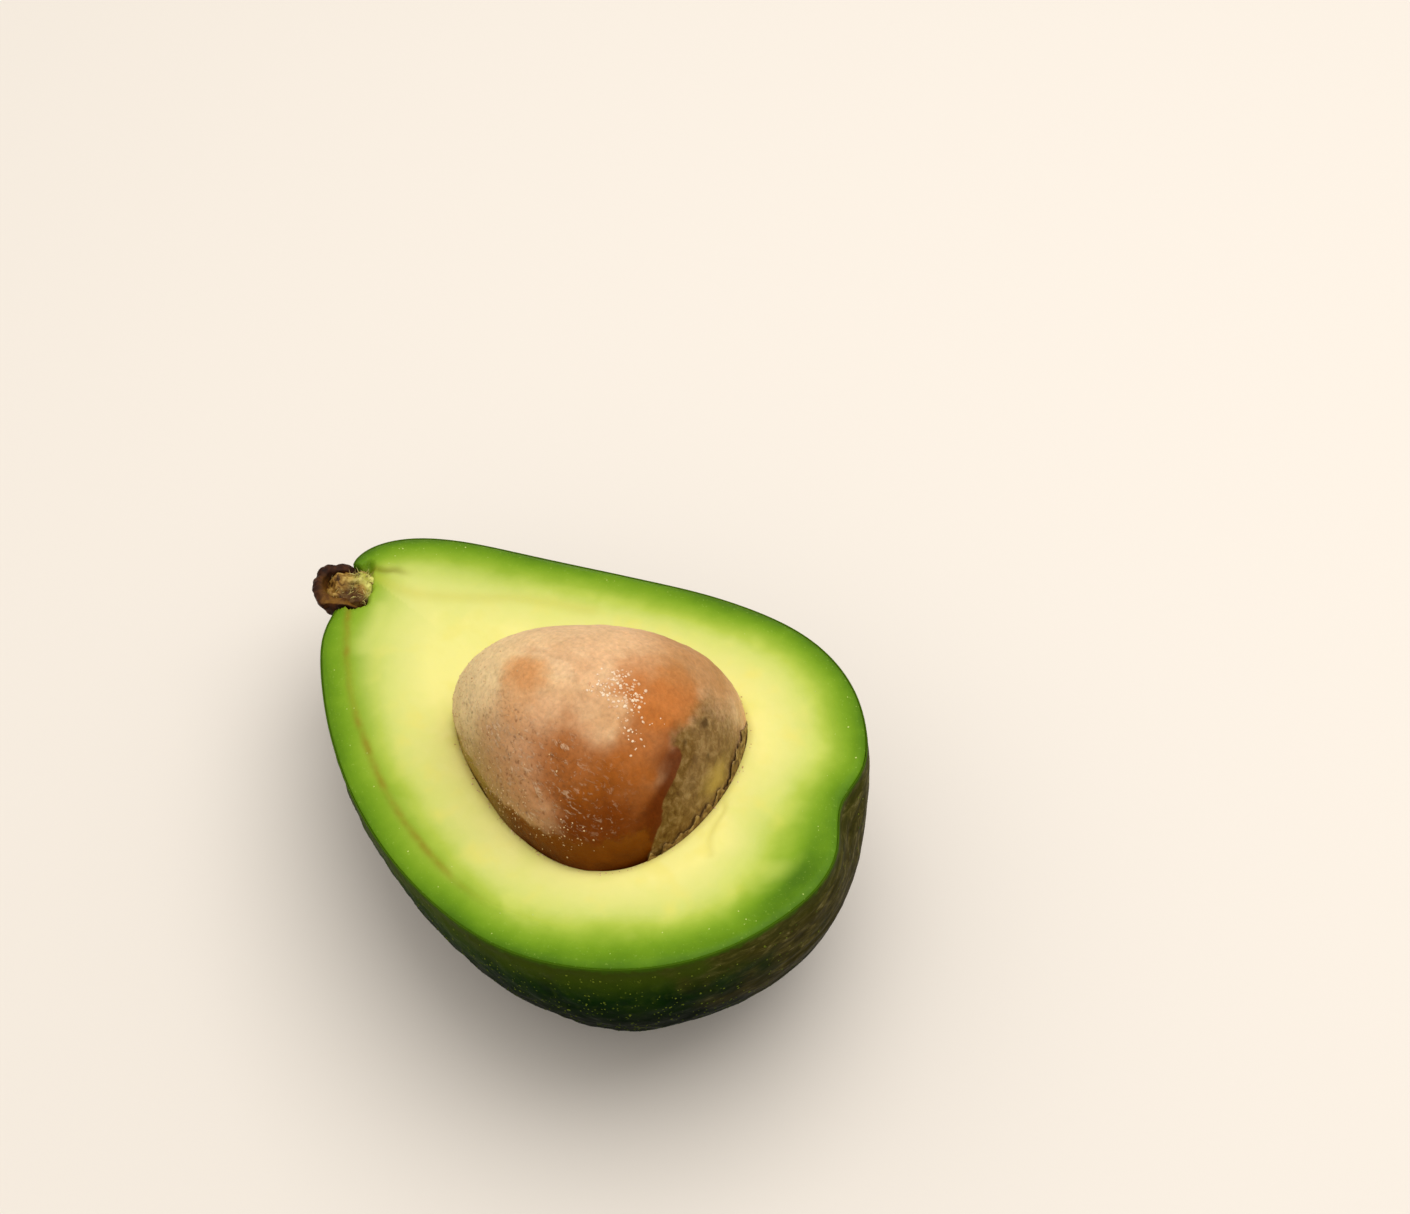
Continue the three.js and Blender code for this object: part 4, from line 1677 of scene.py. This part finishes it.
bead_finish = plain_finish("wet_beads", BEAD_TONES_WITH_GLINT, 0.8 * MM, Roughness=0.06, IOR=WATER_IOR)
crumb_finish = plain_finish("coat_crumbs", CRUMB_TONES, 0.9 * MM, Roughness=0.6, Specular_IOR_Level=0.15)
juice_finish = plain_finish("juice_beads", JUICE_TONES_WITH_GLINT, 1.0 * MM, Roughness=0.05, IOR=WATER_IOR)

seed_beads = scatter("seed_beads", ROUND_BEAD, seed, bead_finish, mask="wet", per_square_metre=4.2e6,
                     smallest=0.07 * MM, largest=0.24 * MM, flatness=0.6, tilt=0.1, seed=7)
settle(seed_beads, "seed")
coat_crumbs = scatter("coat_crumbs", CHIP, seed, crumb_finish, mask="flaky", per_square_metre=1.7e6,
                      smallest=0.05 * MM, largest=0.18 * MM, flatness=0.5, tilt=0.7, seed=11)
settle(coat_crumbs, "seed")
lip_crumbs = scatter("lip_crumbs", CHIP, flesh, crumb_finish, mask="crumbly", per_square_metre=2.2e6,
                     smallest=0.06 * MM, largest=0.2 * MM, flatness=0.6, tilt=0.7, seed=13)
settle(lip_crumbs, "fruit_half")
juice_beads = scatter("juice_beads", ROUND_BEAD, flesh, juice_finish, mask="juicy", per_square_metre=6.0e4,
                      smallest=0.05 * MM, largest=0.13 * MM, flatness=0.6, tilt=0.1, seed=17)
settle(juice_beads, "fruit_half")

# %% [markdown]
# ## Stem finish
#
# The bark is nearly black-brown and dull, and tan where its lip was torn. The wood runs from brown at
# the outer end to a fresh yellow-green where it grew into the flesh, with dark cracks in it and pale
# shreds on top.

# %% Stem materials
BARK_TONES = [(0.3, (26, 8, 0)), (0.5, (52, 23, 4)), (0.72, (88, 48, 16))]
TAN_TONES = [(0.35, (84, 48, 6)), (0.65, (140, 98, 30))]
WOOD_TONES = [(0.32, (88, 54, 8)), (0.5, (146, 106, 40)), (0.68, (196, 160, 84))]
FRESH_TONES = [(0.35, (172, 168, 66)), (0.65, (222, 216, 120))]
SHRED_TONES = [(0.35, (150, 116, 48)), (0.65, (214, 202, 120))]


def bark_finish():
    f = Finish("stem_bark", Specular_IOR_Level=0.15)
    bark = f.ramp(f.noise(1.2 * MM, 5.0, warp=0.4), BARK_TONES)
    tan = f.ramp(f.noise(1.4 * MM, 4.0, warp=0.4), TAN_TONES)
    colour = f.over(bark, f.times(f.guide("torn"), 0.85), tan)
    normal = f.bump(f.noise(0.6 * MM, 4.0, warp=0.5), 0.6, 0.2 * MM)
    f.set(Base_Color=colour, Normal=normal, Roughness=f.plus(0.45, f.times(f.noise(0.8 * MM), 0.3)))
    return f.material


def wood_finish():
    f = Finish("stem_wood", Specular_IOR_Level=0.2)
    brown = f.ramp(f.noise(0.9 * MM, 5.0, warp=0.6), WOOD_TONES)
    fresh = f.ramp(f.noise(1.2 * MM, 3.0), FRESH_TONES)
    colour = f.over(brown, f.times(f.guide("shaded"), 0.8), (62, 30, 4))
    colour = f.over(colour, f.guide("fresh"), fresh)
    cracks = f.step(f.noise(0.9 * MM, 3.0, warp=0.6), 0.42, 0.3)
    colour = f.over(colour, f.times(cracks, 0.8), (52, 28, 4))
    normal = f.bump(f.noise(0.4 * MM, 4.0), 0.5, 0.12 * MM)
    f.set(Base_Color=colour, Normal=normal, Roughness=f.plus(0.4, f.times(f.noise(0.8 * MM), 0.3)))
    return f.material


stem_bark.data.materials.append(bark_finish())
settle(stem_bark, "stem")
stem_wood.data.materials.append(wood_finish())
settle(stem_wood, "stem")
shred_finish = plain_finish("stem_shreds", SHRED_TONES, 1.0 * MM, Roughness=0.5)
stem_shreds = scatter("stem_shreds", STRAND, stem_wood, shred_finish, mask="shreds", per_square_metre=3.0e6,
                      smallest=0.2 * MM, largest=0.75 * MM, flatness=1.0, tilt=1.3, seed=19)
settle(stem_shreds, "stem")
